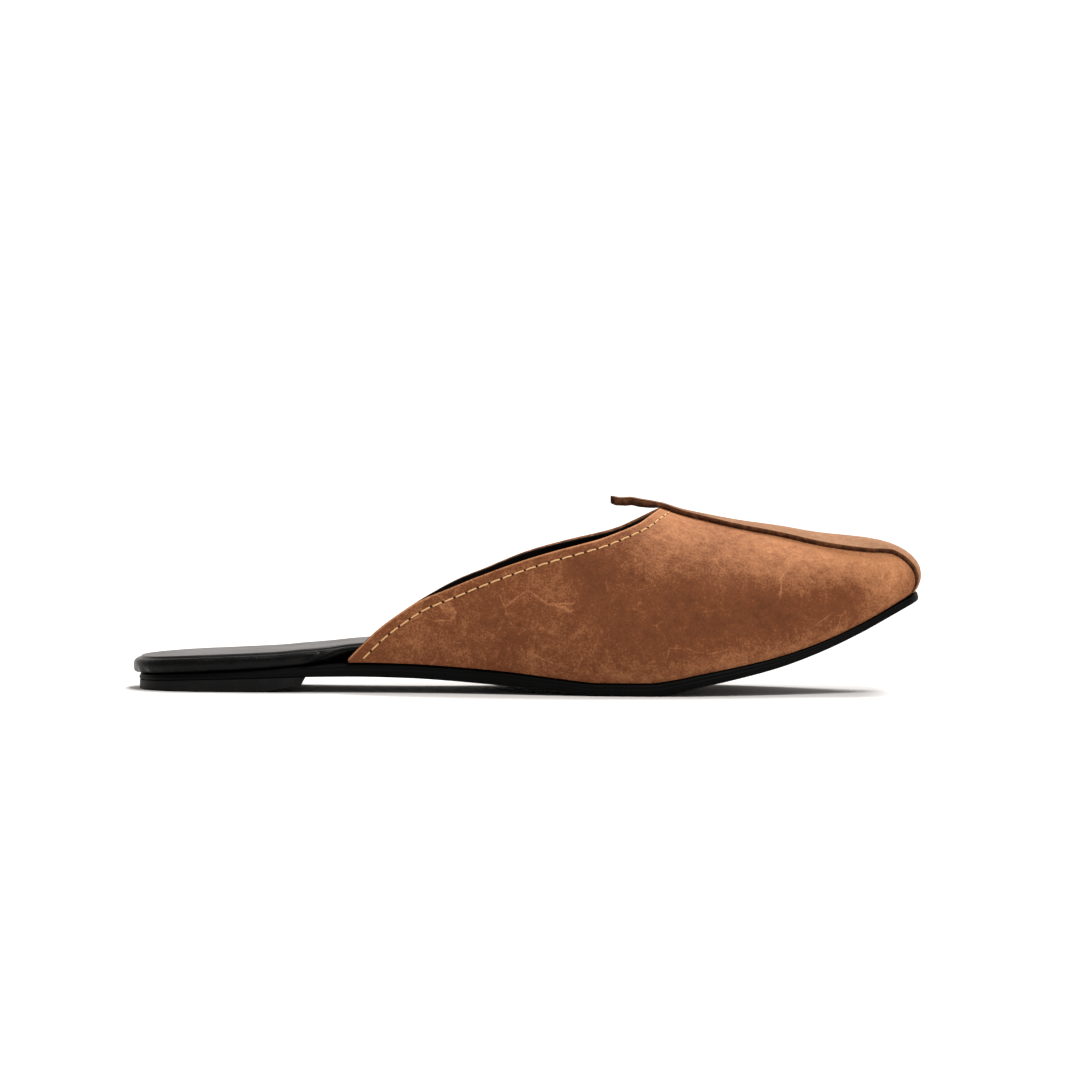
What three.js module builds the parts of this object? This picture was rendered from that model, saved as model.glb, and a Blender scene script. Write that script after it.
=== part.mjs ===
// A flat slip-on mule for the right foot, in millimetres.
// X runs from the heel to the toe, Y to the inner side of the foot and Z up, with the floor at Z = 0.
// Every height is worked out from the sole's run, so the pieces follow each other when a size changes.
import * as THREE from "three";
import { mergeVertices } from "three/addons/utils/BufferGeometryUtils.js";

// Driving dimensions
const LENGTH = 260; // back of the footbed to the front of the upper where it meets the sole
const BALL_WIDTH = 81; // across the upper's lower edge at the ball
const CLEARANCE = 0.3; // between pieces that touch
const HEEL_CAP = 26; // length of the round end of the heel
const TOE_CAP = 11; // length of the rounded corners of the toe
const HEEL_ROUNDNESS = 2.35; // exponent of the heel's curve, where 2 is an ellipse
const TOE_ROUNDNESS = 4;
const FAN_REACH = 0.45; // spread of the toe's sections along the crown, as a share of the outline there

const OUTSOLE_THICKNESS = 4.7; // at the ball
const HEEL_PITCH = 5.3; // underside of the outsole above the floor at the waist
const TOE_SPRING = 32; // underside of the outsole above the floor at the toe
const HEEL_LENGTH = 58; // back of the footbed to the heel's front face, at its top
const HEEL_BREAST_SLANT = 1.5; // how far that face leans back towards its foot
const HEEL_TAPER = 0.5; // how far the heel's side leans in towards the floor
const HEEL_BREAST_START = 46; // the side of the heel starts to lean back with that face here
const HEEL_ROLL = 2.2; // how far the heel's front edge stands off the floor
const HEEL_FLAT_LENGTH = 40; // back of the footbed to where the heel leaves the floor
const HEEL_EDGE_SETBACK = 1.9; // outsole and heel stand in from the back of the footbed

const FOOTBED_THICKNESS = 4.8; // padded seat under the heel
const ARCH_GAP = 3.9; // edge of the footbed above the outsole at the waist
const ARCH_EDGE = 7; // width of that free edge, inside which the footbed lies on the outsole
const SOCK_THICKNESS = 0.6;
const SOCK_MARGIN = 2.4; // rim of the footbed left bare round the sock

const UPPER_WALL = 1.8; // leather and lining
const INSOLE_SETBACK = UPPER_WALL + CLEARANCE; // edge of the footbed inside the upper's outer face
const THROAT_HEIGHT = 61; // top of the upper above the floor at the throat
const THROAT_AT = 175.5; // back of the footbed to the throat
const WING_END_OUTER = 72.2; // back of the footbed to the upper's rear corner, outer side
const WING_END_INNER = 75.5;
const WING_CORNER = 1; // height of that corner
const FAN_START = 200; // from here to the toe the sections turn to face the front
const UNDERCUT = THREE.MathUtils.degToRad(19); // the wall leans out above the sole by this much

const STRIP_THICKNESS = 1.5;
const STRIP_WIDTH_THROAT = 9.6;
const STRIP_WIDTH_TOE = 26.2; // where it is widest, just before the front
const STRIP_TURN = 0.74; // how soon its edges turn down the front of the toe: less is sooner
const STRIP_FOOT = 1.2; // the strip stops this far above the upper's lower edge
const STRIP_SKIVE = 0.3; // share of the thickness left at the strip's foot
const STRIP_FULL_AT = 0.55; // share of the toe's height at which the strip has its full thickness
const TAB_REACH = 16.5; // free end of the strip behind the throat
const TAB_RISE = 1.8; // top of the free end above the strip at the throat
const TAB_THICKNESS = 2.2;
const TAB_TAPER = 0.08; // share of its width that the tab loses at its end
const TAB_CROWN = 0.25; // how far the tab's long edges drop below its middle

// Outline of the upper's lower edge. "at" is a share of LENGTH, the other columns are shares of BALL_WIDTH.
const OUTLINE = [
  { at: 0.0, outer: 0.34, inner: 0.34, centre: 0 },
  { at: 0.08, outer: 0.345, inner: 0.345, centre: 0 },
  { at: 0.15, outer: 0.351, inner: 0.349, centre: 0 },
  { at: 0.22, outer: 0.346, inner: 0.333, centre: 0 },
  { at: 0.29, outer: 0.338, inner: 0.3, centre: 0 },
  { at: 0.35, outer: 0.34, inner: 0.286, centre: 0 },
  { at: 0.41, outer: 0.359, inner: 0.298, centre: 0 },
  { at: 0.475, outer: 0.405, inner: 0.338, centre: 0.001 },
  { at: 0.54, outer: 0.458, inner: 0.397, centre: 0.003 },
  { at: 0.6, outer: 0.497, inner: 0.452, centre: 0.005 },
  { at: 0.65, outer: 0.511, inner: 0.486, centre: 0.007 },
  { at: 0.7, outer: 0.502, inner: 0.491, centre: 0.009 },
  { at: 0.755, outer: 0.463, inner: 0.463, centre: 0.012 },
  { at: 0.81, outer: 0.408, inner: 0.412, centre: 0.015 },
  { at: 0.87, outer: 0.334, inner: 0.341, centre: 0.018 },
  { at: 0.93, outer: 0.259, inner: 0.265, centre: 0.02 },
  { at: 1.0, outer: 0.182, inner: 0.182, centre: 0.021 },
];

// Run of the sole. "pitch" is a share of HEEL_PITCH, "spring" of TOE_SPRING and "thick" of OUTSOLE_THICKNESS;
// "outset" is in millimetres outwards from the outline.
const BALL_FLAT = [0.598, 0.66];
const SOLE = [
  { at: 0.0, pitch: 0.575, spring: 0, thick: 0.46, outset: 0 },
  { at: 0.07, pitch: 0.717, spring: 0, thick: 0.5, outset: 0.3 },
  { at: 0.14, pitch: 0.817, spring: 0, thick: 0.6, outset: 0.8 },
  { at: 0.19, pitch: 0.904, spring: 0, thick: 0.71, outset: 1.2 },
  { at: 0.225, pitch: 0.965, spring: 0, thick: 0.83, outset: 1.4 },
  { at: 0.29, pitch: 1, spring: 0, thick: 0.96, outset: 1.7 },
  { at: 0.35, pitch: 0.943, spring: 0, thick: 0.96, outset: 1.9 },
  { at: 0.42, pitch: 0.753, spring: 0, thick: 0.96, outset: 2 },
  { at: 0.48, pitch: 0.517, spring: 0, thick: 0.97, outset: 2.1 },
  { at: 0.54, pitch: 0.225, spring: 0, thick: 0.92, outset: 2.2 },
  { at: BALL_FLAT[0], pitch: 0, spring: 0, thick: 0.87, outset: 2.2 },
  { at: BALL_FLAT[1], pitch: 0, spring: 0, thick: 0.89, outset: 2.2 },
  { at: 0.69, pitch: 0, spring: 0.03, thick: 0.91, outset: 2.3 },
  { at: 0.724, pitch: 0, spring: 0.0915, thick: 0.87, outset: 2.4 },
  { at: 0.775, pitch: 0, spring: 0.182, thick: 0.81, outset: 2.5 },
  { at: 0.825, pitch: 0, spring: 0.2875, thick: 0.74, outset: 2.5 },
  { at: 0.876, pitch: 0, spring: 0.436, thick: 0.66, outset: 2.6 },
  { at: 0.927, pitch: 0, spring: 0.625, thick: 0.61, outset: 2.7 },
  { at: 0.965, pitch: 0, spring: 0.794, thick: 0.6, outset: 3 },
  { at: 1.0, pitch: 0, spring: 0.961, thick: 0.62, outset: 3.4 },
];

// Crown of the last. "height" is a share of THROAT_HEIGHT, "ridge" of BALL_WIDTH towards the inner side.
// "fullness" is the exponent of the section on the outline there: 1 is an ellipse, less is boxier.
// "lean" is a multiple of UNDERCUT: over the sprung toe the wall stands out further.
const CROWN = [
  { at: 0.25, height: 1.1, ridge: 0.02, fullness: 1, lean: 1 },
  { at: 0.35, height: 1.14, ridge: 0.02, fullness: 1, lean: 1 },
  { at: 0.45, height: 1.145, ridge: 0.024, fullness: 1, lean: 1 },
  { at: 0.54, height: 1.115, ridge: 0.028, fullness: 1, lean: 1 },
  { at: 0.61, height: 1.065, ridge: 0.03, fullness: 1, lean: 1 },
  { at: 0.675, height: 1, ridge: 0.03, fullness: 1, lean: 1 },
  { at: 0.7, height: 0.967, ridge: 0.029, fullness: 1.02, lean: 1 },
  { at: 0.724, height: 0.945, ridge: 0.028, fullness: 1.05, lean: 1 },
  { at: 0.775, height: 0.906, ridge: 0.025, fullness: 1.1, lean: 1 },
  { at: 0.827, height: 0.876, ridge: 0.023, fullness: 1.12, lean: 1 },
  { at: 0.877, height: 0.841, ridge: 0.021, fullness: 1.08, lean: 1 },
  { at: 0.93, height: 0.819, ridge: 0.021, fullness: 0.94, lean: 1.15 },
  { at: 0.965, height: 0.805, ridge: 0.021, fullness: 0.78, lean: 1.35 },
  { at: 0.987, height: 0.798, ridge: 0.021, fullness: 0.6, lean: 1.7 },
  { at: 1.0, height: 0.79, ridge: 0.021, fullness: 0.54, lean: 1.2 },
];

// Edge of the collar, from the rear corner (at 0) to the throat (at 1), as shares of the height between them.
const COLLAR = [
  { at: 0, outer: 0, inner: 0 },
  { at: 0.037, outer: 0.08, inner: 0.085 },
  { at: 0.1, outer: 0.207, inner: 0.208 },
  { at: 0.163, outer: 0.306, inner: 0.31 },
  { at: 0.225, outer: 0.39, inner: 0.389 },
  { at: 0.322, outer: 0.475, inner: 0.496 },
  { at: 0.414, outer: 0.555, inner: 0.572 },
  { at: 0.545, outer: 0.656, inner: 0.68 },
  { at: 0.637, outer: 0.716, inner: 0.736 },
  { at: 0.734, outer: 0.77, inner: 0.785 },
  { at: 0.802, outer: 0.808, inner: 0.817 },
  { at: 0.86, outer: 0.851, inner: 0.852 },
  { at: 0.927, outer: 0.908, inner: 0.917 },
  { at: 0.97, outer: 0.964, inner: 0.965 },
  { at: 1, outer: 1, inner: 1 },
];

// Footbed. "lift" is a share of ARCH_GAP, "thick" of FOOTBED_THICKNESS and "tuck" of INSOLE_SETBACK.
const FOOTBED = [
  { at: 0.0, lift: 0, thick: 1, tuck: 0 },
  { at: 0.08, lift: 0, thick: 1, tuck: 0 },
  { at: 0.14, lift: 0, thick: 0.97, tuck: 0 },
  { at: 0.19, lift: 0, thick: 0.92, tuck: 0 },
  { at: 0.22, lift: 0.03, thick: 0.9, tuck: 0 },
  { at: 0.246, lift: 0.22, thick: 0.78, tuck: 0.35 },
  { at: 0.269, lift: 0.64, thick: 0.52, tuck: 0.95 },
  { at: 0.285, lift: 0.84, thick: 0.44, tuck: 1 },
  { at: 0.315, lift: 1, thick: 0.42, tuck: 1 },
  { at: 0.36, lift: 1, thick: 0.42, tuck: 1 },
  { at: 0.45, lift: 0.66, thick: 0.45, tuck: 1 },
  { at: 0.55, lift: 0.14, thick: 0.5, tuck: 1 },
  { at: 0.6, lift: 0, thick: 0.5, tuck: 1 },
  { at: 1.0, lift: 0, thick: 0.5, tuck: 1 },
];

// Width of the strip along its middle line. "at" is a share of LENGTH, and "spread" goes from 0 for
// STRIP_WIDTH_THROAT to 1 for STRIP_WIDTH_TOE.
const STRIP = [
  { at: 0.675, spread: 0 },
  { at: 0.72, spread: 0.23 },
  { at: 0.78, spread: 0.49 },
  { at: 0.86, spread: 0.73 },
  { at: 0.905, spread: 1 },
  { at: 0.917, spread: 0.71 },
];

// Rise of the tab from the throat (at 0) to its end (at 1), as a share of TAB_RISE.
const TAB = [
  { at: 0, rise: 0, thick: 0 },
  { at: 0.2, rise: 0.32, thick: 0.7 },
  { at: 0.45, rise: 0.72, thick: 1 },
  { at: 0.7, rise: 0.93, thick: 1 },
  { at: 1, rise: 1, thick: 1 },
];

// Side profiles: "inset" in millimetres from the piece's outline, "height" as a share of its thickness.
const OUTSOLE_SIDE = [
  { inset: 0.7, height: 0 },
  { inset: 0.15, height: 0.12 },
  { inset: 0, height: 0.3 },
  { inset: 0.05, height: 0.56 },
  { inset: 0.35, height: 0.62 },
  { inset: 0.45, height: 0.88 },
  { inset: 1.4, height: 1 },
];
const FOOTBED_SIDE = [
  { inset: 1.4, height: 0 },
  { inset: 0.35, height: 0.2 },
  { inset: 0, height: 0.5 },
  { inset: 0.35, height: 0.8 },
  { inset: 1.1, height: 0.95 },
  { inset: 2, height: 1 },
];
const SOCK_SIDE = [
  { inset: 0, height: 0 },
  { inset: 0.15, height: 1 },
];

// Numbers of faces
const FLAT_SPACING = 6.5; // millimetres between the faces of the flat pieces
const WING_COLUMNS = 26;
const WING_CROWDING = 1.5; // how much closer together they stand towards the throat
const VAMP_COLUMNS = 5;
const TOE_COLUMNS = 24;
const STRIP_COLUMNS = 56; // of the strip round the toe
const WALL_ROWS = 14;
const TAB_ROWS = 1;
const TAB_COLUMNS = 6;
const CAP_COLUMNS = 8;
const OUTLINE_STEPS = 900;
const BEND_WORTH = 30; // millimetres of outline that a bend of one radian counts for when the toe is divided
const TANGENT_REACH = 0.4; // millimetres along the outline for its direction
const CROWN_REACH = 1; // millimetres along the crown for its slope
const ANGLE_REACH = 0.02; // radians on a section for its direction
const TOUCHING = 1e-3; // points closer than this are one point
const ROUNDING = 1e-9; // slack for the rounding of sums

const SIDES = { outer: -1, inner: 1 };

/** A smooth curve through one column of a table that never overshoots its rows. */
function curve(rows, column) {
  const x = rows.map((row) => row.at);
  const y = rows.map((row) => row[column]);
  const secant = x.slice(1).map((xi, i) => (y[i + 1] - y[i]) / (xi - x[i]));
  const slope = x.map((_, i) => {
    if (i === 0) return secant[0];
    if (i === x.length - 1) return secant[i - 1];
    if (secant[i - 1] * secant[i] <= 0) return 0;
    return (2 * secant[i - 1] * secant[i]) / (secant[i - 1] + secant[i]);
  });
  return (at) => {
    if (at <= x[0]) return y[0];
    if (at >= x[x.length - 1]) return y[y.length - 1];
    const i = x.findIndex((xi) => xi > at) - 1;
    const step = x[i + 1] - x[i];
    const s = (at - x[i]) / step;
    const rising = s * s * (3 - 2 * s);
    return (
      y[i] * (1 - rising) +
      y[i + 1] * rising +
      step * s * (1 - s) * (slope[i] * (1 - s) - slope[i + 1] * s)
    );
  };
}

/** A column of a table along the shoe as a function of x in millimetres, scaled by a named size. */
const along = (rows, column, scale = 1) => {
  const shape = curve(rows, column);
  return (x) => shape(x / LENGTH) * scale;
};

const centreLine = along(OUTLINE, "centre", BALL_WIDTH);
const tableWidth = {
  outer: along(OUTLINE, "outer", BALL_WIDTH),
  inner: along(OUTLINE, "inner", BALL_WIDTH),
};
const pitch = along(SOLE, "pitch", HEEL_PITCH);
const spring = along(SOLE, "spring", TOE_SPRING);
const soleThickness = along(SOLE, "thick", OUTSOLE_THICKNESS);
const soleOutset = along(SOLE, "outset");
const soleBottom = (x) => pitch(x) + spring(x);
const soleTop = (x) => soleBottom(x) + soleThickness(x);
const featherHeight = (x) => soleTop(x) + CLEARANCE;
const footbedLift = along(FOOTBED, "lift", ARCH_GAP);
const footbedThickness = along(FOOTBED, "thick", FOOTBED_THICKNESS);
const footbedTuck = along(FOOTBED, "tuck", INSOLE_SETBACK);
const footbedBottom = (x) => featherHeight(x) + footbedLift(x);
const footbedTop = (x) => footbedBottom(x) + footbedThickness(x);
const crownHeight = along(CROWN, "height", THROAT_HEIGHT);
const crownRidge = along(CROWN, "ridge", BALL_WIDTH);
const fullness = along(CROWN, "fullness");
const undercut = along(CROWN, "lean", UNDERCUT);
const stripSpread = along(STRIP, "spread");
const collarRise = { outer: curve(COLLAR, "outer"), inner: curve(COLLAR, "inner") };

/** Half the width of the outline on one side at x, rounded off at heel and toe. */
function halfWidth(side, x) {
  const fromHeel = Math.max(0, 1 - x / HEEL_CAP);
  const intoToe = Math.max(0, 1 - (LENGTH - x) / TOE_CAP);
  const heel = (1 - fromHeel ** HEEL_ROUNDNESS) ** (1 / HEEL_ROUNDNESS);
  const toe = (1 - intoToe ** TOE_ROUNDNESS) ** (1 / TOE_ROUNDNESS);
  return tableWidth[side](x) * heel * toe;
}

/** Point of the outline at x, moved outwards in the plan by a distance. */
function outlinePoint(side, x, outset) {
  const here = (at) =>
    new THREE.Vector2(at, centreLine(at) + SIDES[side] * halfWidth(side, at));
  const point = here(x);
  if (x <= 0) return point.setX(point.x - outset);
  if (x >= LENGTH) return point.setX(point.x + outset);
  const reach = Math.min(TANGENT_REACH, x / 2, (LENGTH - x) / 2);
  const tangent = here(x + reach).sub(here(x - reach)).normalize();
  return point.add(
    new THREE.Vector2(-tangent.y, tangent.x).multiplyScalar(outset * SIDES[side]),
  );
}

/** Outline of one side from FAN_START to the toe. "travelled" is its length so far, and "worth" counts its
 * bends too, so that equal steps of it stand closer together round the corner. */
function toeTrace(side) {
  const trace = [];
  let travelled = 0;
  let worth = 0;
  for (let k = 0; k <= OUTLINE_STEPS; k++) {
    const turn = (Math.PI / 2) * (k / OUTLINE_STEPS);
    const x = FAN_START + (LENGTH - FAN_START) * Math.sin(turn);
    const point = outlinePoint(side, Math.min(x, LENGTH), 0);
    const heading = k ? point.clone().sub(trace[k - 1].point) : new THREE.Vector2(1, 0);
    if (k) {
      travelled += heading.length();
      worth += heading.length();
    }
    if (k > 1) worth += BEND_WORTH * Math.abs(turnBetween(trace[k - 1].heading, heading));
    trace.push({ point, heading, travelled, worth });
  }
  return trace;
}

/** Angle from one plan direction to another. */
function turnBetween(first, second) {
  return Math.atan2(first.cross(second), first.dot(second));
}
const TOE_TRACES = { outer: toeTrace("outer"), inner: toeTrace("inner") };
const TOE_LENGTH =
  (TOE_TRACES.outer[OUTLINE_STEPS].travelled + TOE_TRACES.inner[OUTLINE_STEPS].travelled) / 2;

/** Point at a share of the way round the toe, with its share of the outline's length. */
function roundToe(side, share) {
  const trace = TOE_TRACES[side];
  const wanted = share * trace[OUTLINE_STEPS].worth;
  const k = Math.max(
    1,
    trace.findIndex((step) => step.worth >= wanted - ROUNDING),
  );
  const before = trace[k - 1];
  const after = trace[k];
  const part = (wanted - before.worth) / (after.worth - before.worth);
  const travelled = THREE.MathUtils.lerp(before.travelled, after.travelled, part);
  return {
    point: before.point.clone().lerp(after.point, part),
    share: travelled / trace[OUTLINE_STEPS].travelled,
  };
}

/** The crown point over x, with the crown's slope there. */
function crownPoint(x) {
  const slope = (crownHeight(x + CROWN_REACH) - crownHeight(x - CROWN_REACH)) / (2 * CROWN_REACH);
  return { at: new THREE.Vector3(x, crownRidge(x), crownHeight(x)), slope };
}

/** A section of the last that stands on the outline at foot and reaches the crown at x. */
function section(foot, x) {
  return {
    foot,
    crown: crownPoint(x),
    floor: featherHeight(foot.x),
    lean: undercut(foot.x),
    fullness: fullness(foot.x),
  };
}

const crossSection = (side, x) => section(outlinePoint(side, x, 0), x);

/** A section that turns towards the front of the toe. Its step runs from 0 at FAN_START to 1 at the tip, and
 * both sides reach the crown at one point. */
function fanSection(side, step) {
  const { point, share } = roundToe(side, step);
  const mean = (roundToe("outer", step).share + roundToe("inner", step).share) / 2;
  const x = FAN_START + FAN_REACH * TOE_LENGTH * mean * (2 - mean);
  return section(point, x);
}

/** Share of a section's height at an angle, which runs from minus its lean, at the sole, to a quarter turn. */
const heightShare = (cut, angle) =>
  (Math.sin(angle) + Math.sin(cut.lean)) / (1 + Math.sin(cut.lean));

/** Point of the last's surface on a section. */
function lastPoint(cut, angle) {
  const { foot, crown, floor } = cut;
  const left = (Math.max(0, Math.cos(angle)) / Math.cos(cut.lean)) ** cut.fullness;
  const x = crown.at.x + (foot.x - crown.at.x) * left;
  const y = crown.at.y + (foot.y - crown.at.y) * left;
  const top = crown.at.z + crown.slope * (x - crown.at.x);
  return new THREE.Vector3(x, y, floor + (top - floor) * heightShare(cut, angle));
}

/** Angle at which a section reaches a height. */
function angleAtHeight(cut, height) {
  const share = (height - cut.floor) / (cut.crown.at.z - cut.floor);
  const sine = share * (1 + Math.sin(cut.lean)) - Math.sin(cut.lean);
  return Math.asin(Math.min(1, Math.max(-1, sine)));
}

/** Height of the collar on one side at a share of the way from the rear corner to the throat. */
function collarHeight(side, share) {
  const rear = featherHeight(side === "outer" ? WING_END_OUTER : WING_END_INNER) + WING_CORNER;
  return rear + (THROAT_HEIGHT - rear) * collarRise[side](share);
}

/** Sections of one side from the rear corner to the toe, each with the angle at which the upper ends. */
function upperSections(side) {
  const sections = [];
  const rear = side === "outer" ? WING_END_OUTER : WING_END_INNER;
  for (let i = 0; i < WING_COLUMNS; i++) {
    const share = 1 - (1 - i / WING_COLUMNS) ** WING_CROWDING;
    const cut = crossSection(side, rear + (THROAT_AT - rear) * share);
    sections.push({ ...cut, end: angleAtHeight(cut, collarHeight(side, share)) });
  }
  return [...sections, ...vampSections(side, TOE_COLUMNS)];
}

/** Sections from the throat to the toe, which reach the crown, with a number of them round the toe. */
function vampSections(side, columns) {
  const sections = [];
  for (let i = 0; i < VAMP_COLUMNS; i++) {
    const x = THROAT_AT + ((FAN_START - THROAT_AT) * i) / VAMP_COLUMNS;
    sections.push({ ...crossSection(side, x), end: Math.PI / 2 });
  }
  for (let i = 0; i <= columns; i++)
    sections.push({ ...fanSection(side, i / columns), end: Math.PI / 2 });
  return sections;
}

/** Outward normal of the last's surface on a section of a list, at an angle. */
function lastNormal(side, sections, i, angle) {
  const before = lastPoint(sections[Math.max(0, i - 1)], angle);
  const after = lastPoint(sections[Math.min(sections.length - 1, i + 1)], angle);
  const below = lastPoint(sections[i], angle - ANGLE_REACH);
  const above = lastPoint(sections[i], Math.min(angle + ANGLE_REACH, Math.PI / 2));
  const normal = above.sub(below).cross(after.sub(before)).normalize();
  return side === "outer" ? normal.negate() : normal;
}

/** Points and normals of both sides, one row for each section and one column for each angle of the wall.
 * Columns below a section's start or above its end are gathered there. Where the sides meet, the normals are
 * averaged. */
function gridOf(sections) {
  const grid = {};
  for (const side of Object.keys(SIDES))
    grid[side] = sections[side].map((cut, i) =>
      Array.from({ length: WALL_ROWS + 1 }, (_, j) => {
        const even = THREE.MathUtils.lerp(-cut.lean, Math.PI / 2, j / WALL_ROWS);
        const angle = Math.min(cut.end, Math.max(cut.start ?? -cut.lean, even));
        return { at: lastPoint(cut, angle), normal: lastNormal(side, sections[side], i, angle) };
      }),
    );
  grid.outer.forEach((row, i) =>
    row.forEach((outer, j) => {
      const inner = grid.inner[i][j];
      if (outer.at.distanceTo(inner.at) > TOUCHING) return;
      outer.normal.add(inner.normal).normalize();
      inner.normal.copy(outer.normal);
      inner.at.copy(outer.at);
    }),
  );
  return grid;
}

/** Collects triangles and welds them into one closed geometry. */
class Skin {
  constructor() {
    this.corners = [];
  }

  triangle(a, b, c) {
    this.corners.push(a, b, c);
  }

  quad(a, b, c, d) {
    const short = a.distanceTo(c) <= b.distanceTo(d);
    if (short) {
      this.triangle(a, b, c);
      this.triangle(a, c, d);
    } else {
      this.triangle(a, b, d);
      this.triangle(b, c, d);
    }
  }

  /** Quads between two lines of points of equal length. */
  band(first, second) {
    for (let k = 1; k < first.length; k++)
      this.quad(first[k - 1], first[k], second[k], second[k - 1]);
  }

  geometry() {
    const soup = new THREE.BufferGeometry().setFromPoints(this.corners);
    const welded = mergeVertices(soup, TOUCHING);
    const index = welded.index.array;
    const kept = [];
    for (let k = 0; k < index.length; k += 3) {
      const [a, b, c] = index.slice(k, k + 3);
      if (a !== b && b !== c && c !== a) kept.push(a, b, c);
    }
    welded.setIndex(kept);
    welded.computeVertexNormals();
    return welded;
  }
}

/** A wall between an outer and an inner pair of grids that meet along the crown and at the toe. */
function shell(outside, inside) {
  const skin = new Skin();
  const meets = (i) => outside.outer[i].at(-1).distanceTo(outside.inner[i].at(-1)) < TOUCHING;
  for (const side of Object.keys(SIDES)) {
    const flip = side === "inner";
    const out = outside[side];
    const into = inside[side];
    const face = (first, second) => (flip ? skin.band(second, first) : skin.band(first, second));
    for (let i = 1; i < out.length; i++) {
      face(out[i], out[i - 1]);
      face(into[i - 1], into[i]);
      face([out[i][0], out[i - 1][0]], [into[i][0], into[i - 1][0]]);
      if (!meets(i) || !meets(i - 1))
        face([out[i - 1].at(-1), out[i].at(-1)], [into[i - 1].at(-1), into[i].at(-1)]);
    }
    face(out[0], into[0]);
  }
  return skin.geometry();
}

/** The upper: one wall from the sole to the collar, open at the throat, behind and underneath. */
function upperGeometry() {
  const grid = gridOf({ outer: upperSections("outer"), inner: upperSections("inner") });
  const outside = {};
  const inside = {};
  for (const side of Object.keys(SIDES)) {
    outside[side] = grid[side].map((row) => row.map(({ at }) => at));
    inside[side] = grid[side].map((row) =>
      row.map(({ at, normal }, j) => {
        const inward = normal.clone();
        if (j === 0) inward.setZ(0).normalize();
        return at.clone().addScaledVector(inward, -UPPER_WALL);
      }),
    );
  }
  return shell(outside, inside);
}

/** Half the strip's width where its middle line is at x. */
const stripReach = (x) =>
  THREE.MathUtils.lerp(STRIP_WIDTH_THROAT, STRIP_WIDTH_TOE, stripSpread(x)) / 2;

/** Angle at which the strip's edge lies on a section. It follows the strip's width over the crown, and turns
 * down to the sole over the sections that stand only a little further out than that. */
function stripEdge(cut) {
  const whole = Math.abs(cut.foot.y - cut.crown.at.y);
  const inside = Math.min(1, (stripReach(cut.crown.at.x) / whole) ** (1 / cut.fullness));
  const share = heightShare(cut, Math.acos(Math.cos(cut.lean) * inside));
  const kept = 1 - THREE.MathUtils.smoothstep(inside, STRIP_TURN, 1);
  const rise = cut.crown.at.z - cut.floor;
  return angleAtHeight(cut, cut.floor + Math.max(STRIP_FOOT, share * kept * rise));
}

/** Sections of the strip on one side: from its edge, or from just above the sole, to the crown. */
const stripSections = (side) =>
  vampSections(side, STRIP_COLUMNS).map((cut) => ({ ...cut, start: stripEdge(cut) }));

const tabRise = curve(TAB, "rise");
const tabThick = curve(TAB, "thick");

/** Upper and lower points across half of the tab at a share of its reach behind the throat. */
function tabRows(side, share) {
  const x = THROAT_AT - TAB_REACH * share;
  const reach = (STRIP_WIDTH_THROAT / 2) * (1 - TAB_TAPER * share);
  const top = THROAT_HEIGHT + CLEARANCE + STRIP_THICKNESS + TAB_RISE * tabRise(share);
  const thickness = THREE.MathUtils.lerp(STRIP_THICKNESS, TAB_THICKNESS, tabThick(share));
  const upper = [];
  const lower = [];
  for (let j = 0; j <= WALL_ROWS; j++) {
    const out = Math.min(1, (WALL_ROWS - j) / TAB_ROWS);
    const y = crownRidge(THROAT_AT) + SIDES[side] * reach * out;
    const z = top - TAB_CROWN * out * out;
    upper.push(new THREE.Vector3(x, y, z));
    lower.push(new THREE.Vector3(x, y, z - thickness));
  }
  return { upper, lower };
}

/** The centre strip, laid over the crown from the toe to the throat, with its free end behind. */
function stripGeometry() {
  const sections = { outer: stripSections("outer"), inner: stripSections("inner") };
  const grid = gridOf(sections);
  const outside = {};
  const inside = {};
  for (const side of Object.keys(SIDES)) {
    outside[side] = [];
    inside[side] = [];
    for (let i = TAB_COLUMNS; i > 0; i--) {
      const { upper, lower } = tabRows(side, i / TAB_COLUMNS);
      outside[side].push(upper);
      inside[side].push(lower);
    }
    grid[side].forEach((row, i) => {
      const { floor, crown } = sections[side][i];
      const raised = (point, thickness) =>
        point.at.clone().addScaledVector(point.normal, CLEARANCE + thickness);
      inside[side].push(row.map((point) => raised(point, 0)));
      outside[side].push(
        row.map((point) => {
          const height = (point.at.z - floor) / (crown.at.z - floor);
          const full = THREE.MathUtils.smoothstep(height, 0, STRIP_FULL_AT);
          return raised(point, STRIP_THICKNESS * THREE.MathUtils.lerp(STRIP_SKIVE, 1, full));
        }),
      );
    });
  }
  return shell(outside, inside);
}

/** Values of x for a flat piece from the heel to an end, closer together round the heel and the toe. */
function stations(to) {
  const values = [];
  for (let k = 0; k < CAP_COLUMNS; k++)
    values.push(HEEL_CAP * (1 - Math.cos((Math.PI / 2) * (k / CAP_COLUMNS))));
  const marks = [
    HEEL_CAP,
    HEEL_FLAT_LENGTH,
    HEEL_BREAST_START,
    HEEL_LENGTH,
    ...BALL_FLAT.map((at) => at * LENGTH),
    LENGTH - TOE_CAP,
  ];
  const stops = marks.filter((x) => x <= to);
  for (let k = 1; k < stops.length; k++) {
    const count = Math.max(1, Math.round((stops[k] - stops[k - 1]) / FLAT_SPACING));
    for (let n = 0; n < count; n++)
      values.push(stops[k - 1] + ((stops[k] - stops[k - 1]) * n) / count);
  }
  const last = stops[stops.length - 1];
  if (last === to) return [...values, last];
  for (let k = 0; k <= CAP_COLUMNS; k++)
    values.push(last + (to - last) * Math.sin((Math.PI / 2) * (k / CAP_COLUMNS)));
  return values;
}

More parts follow.
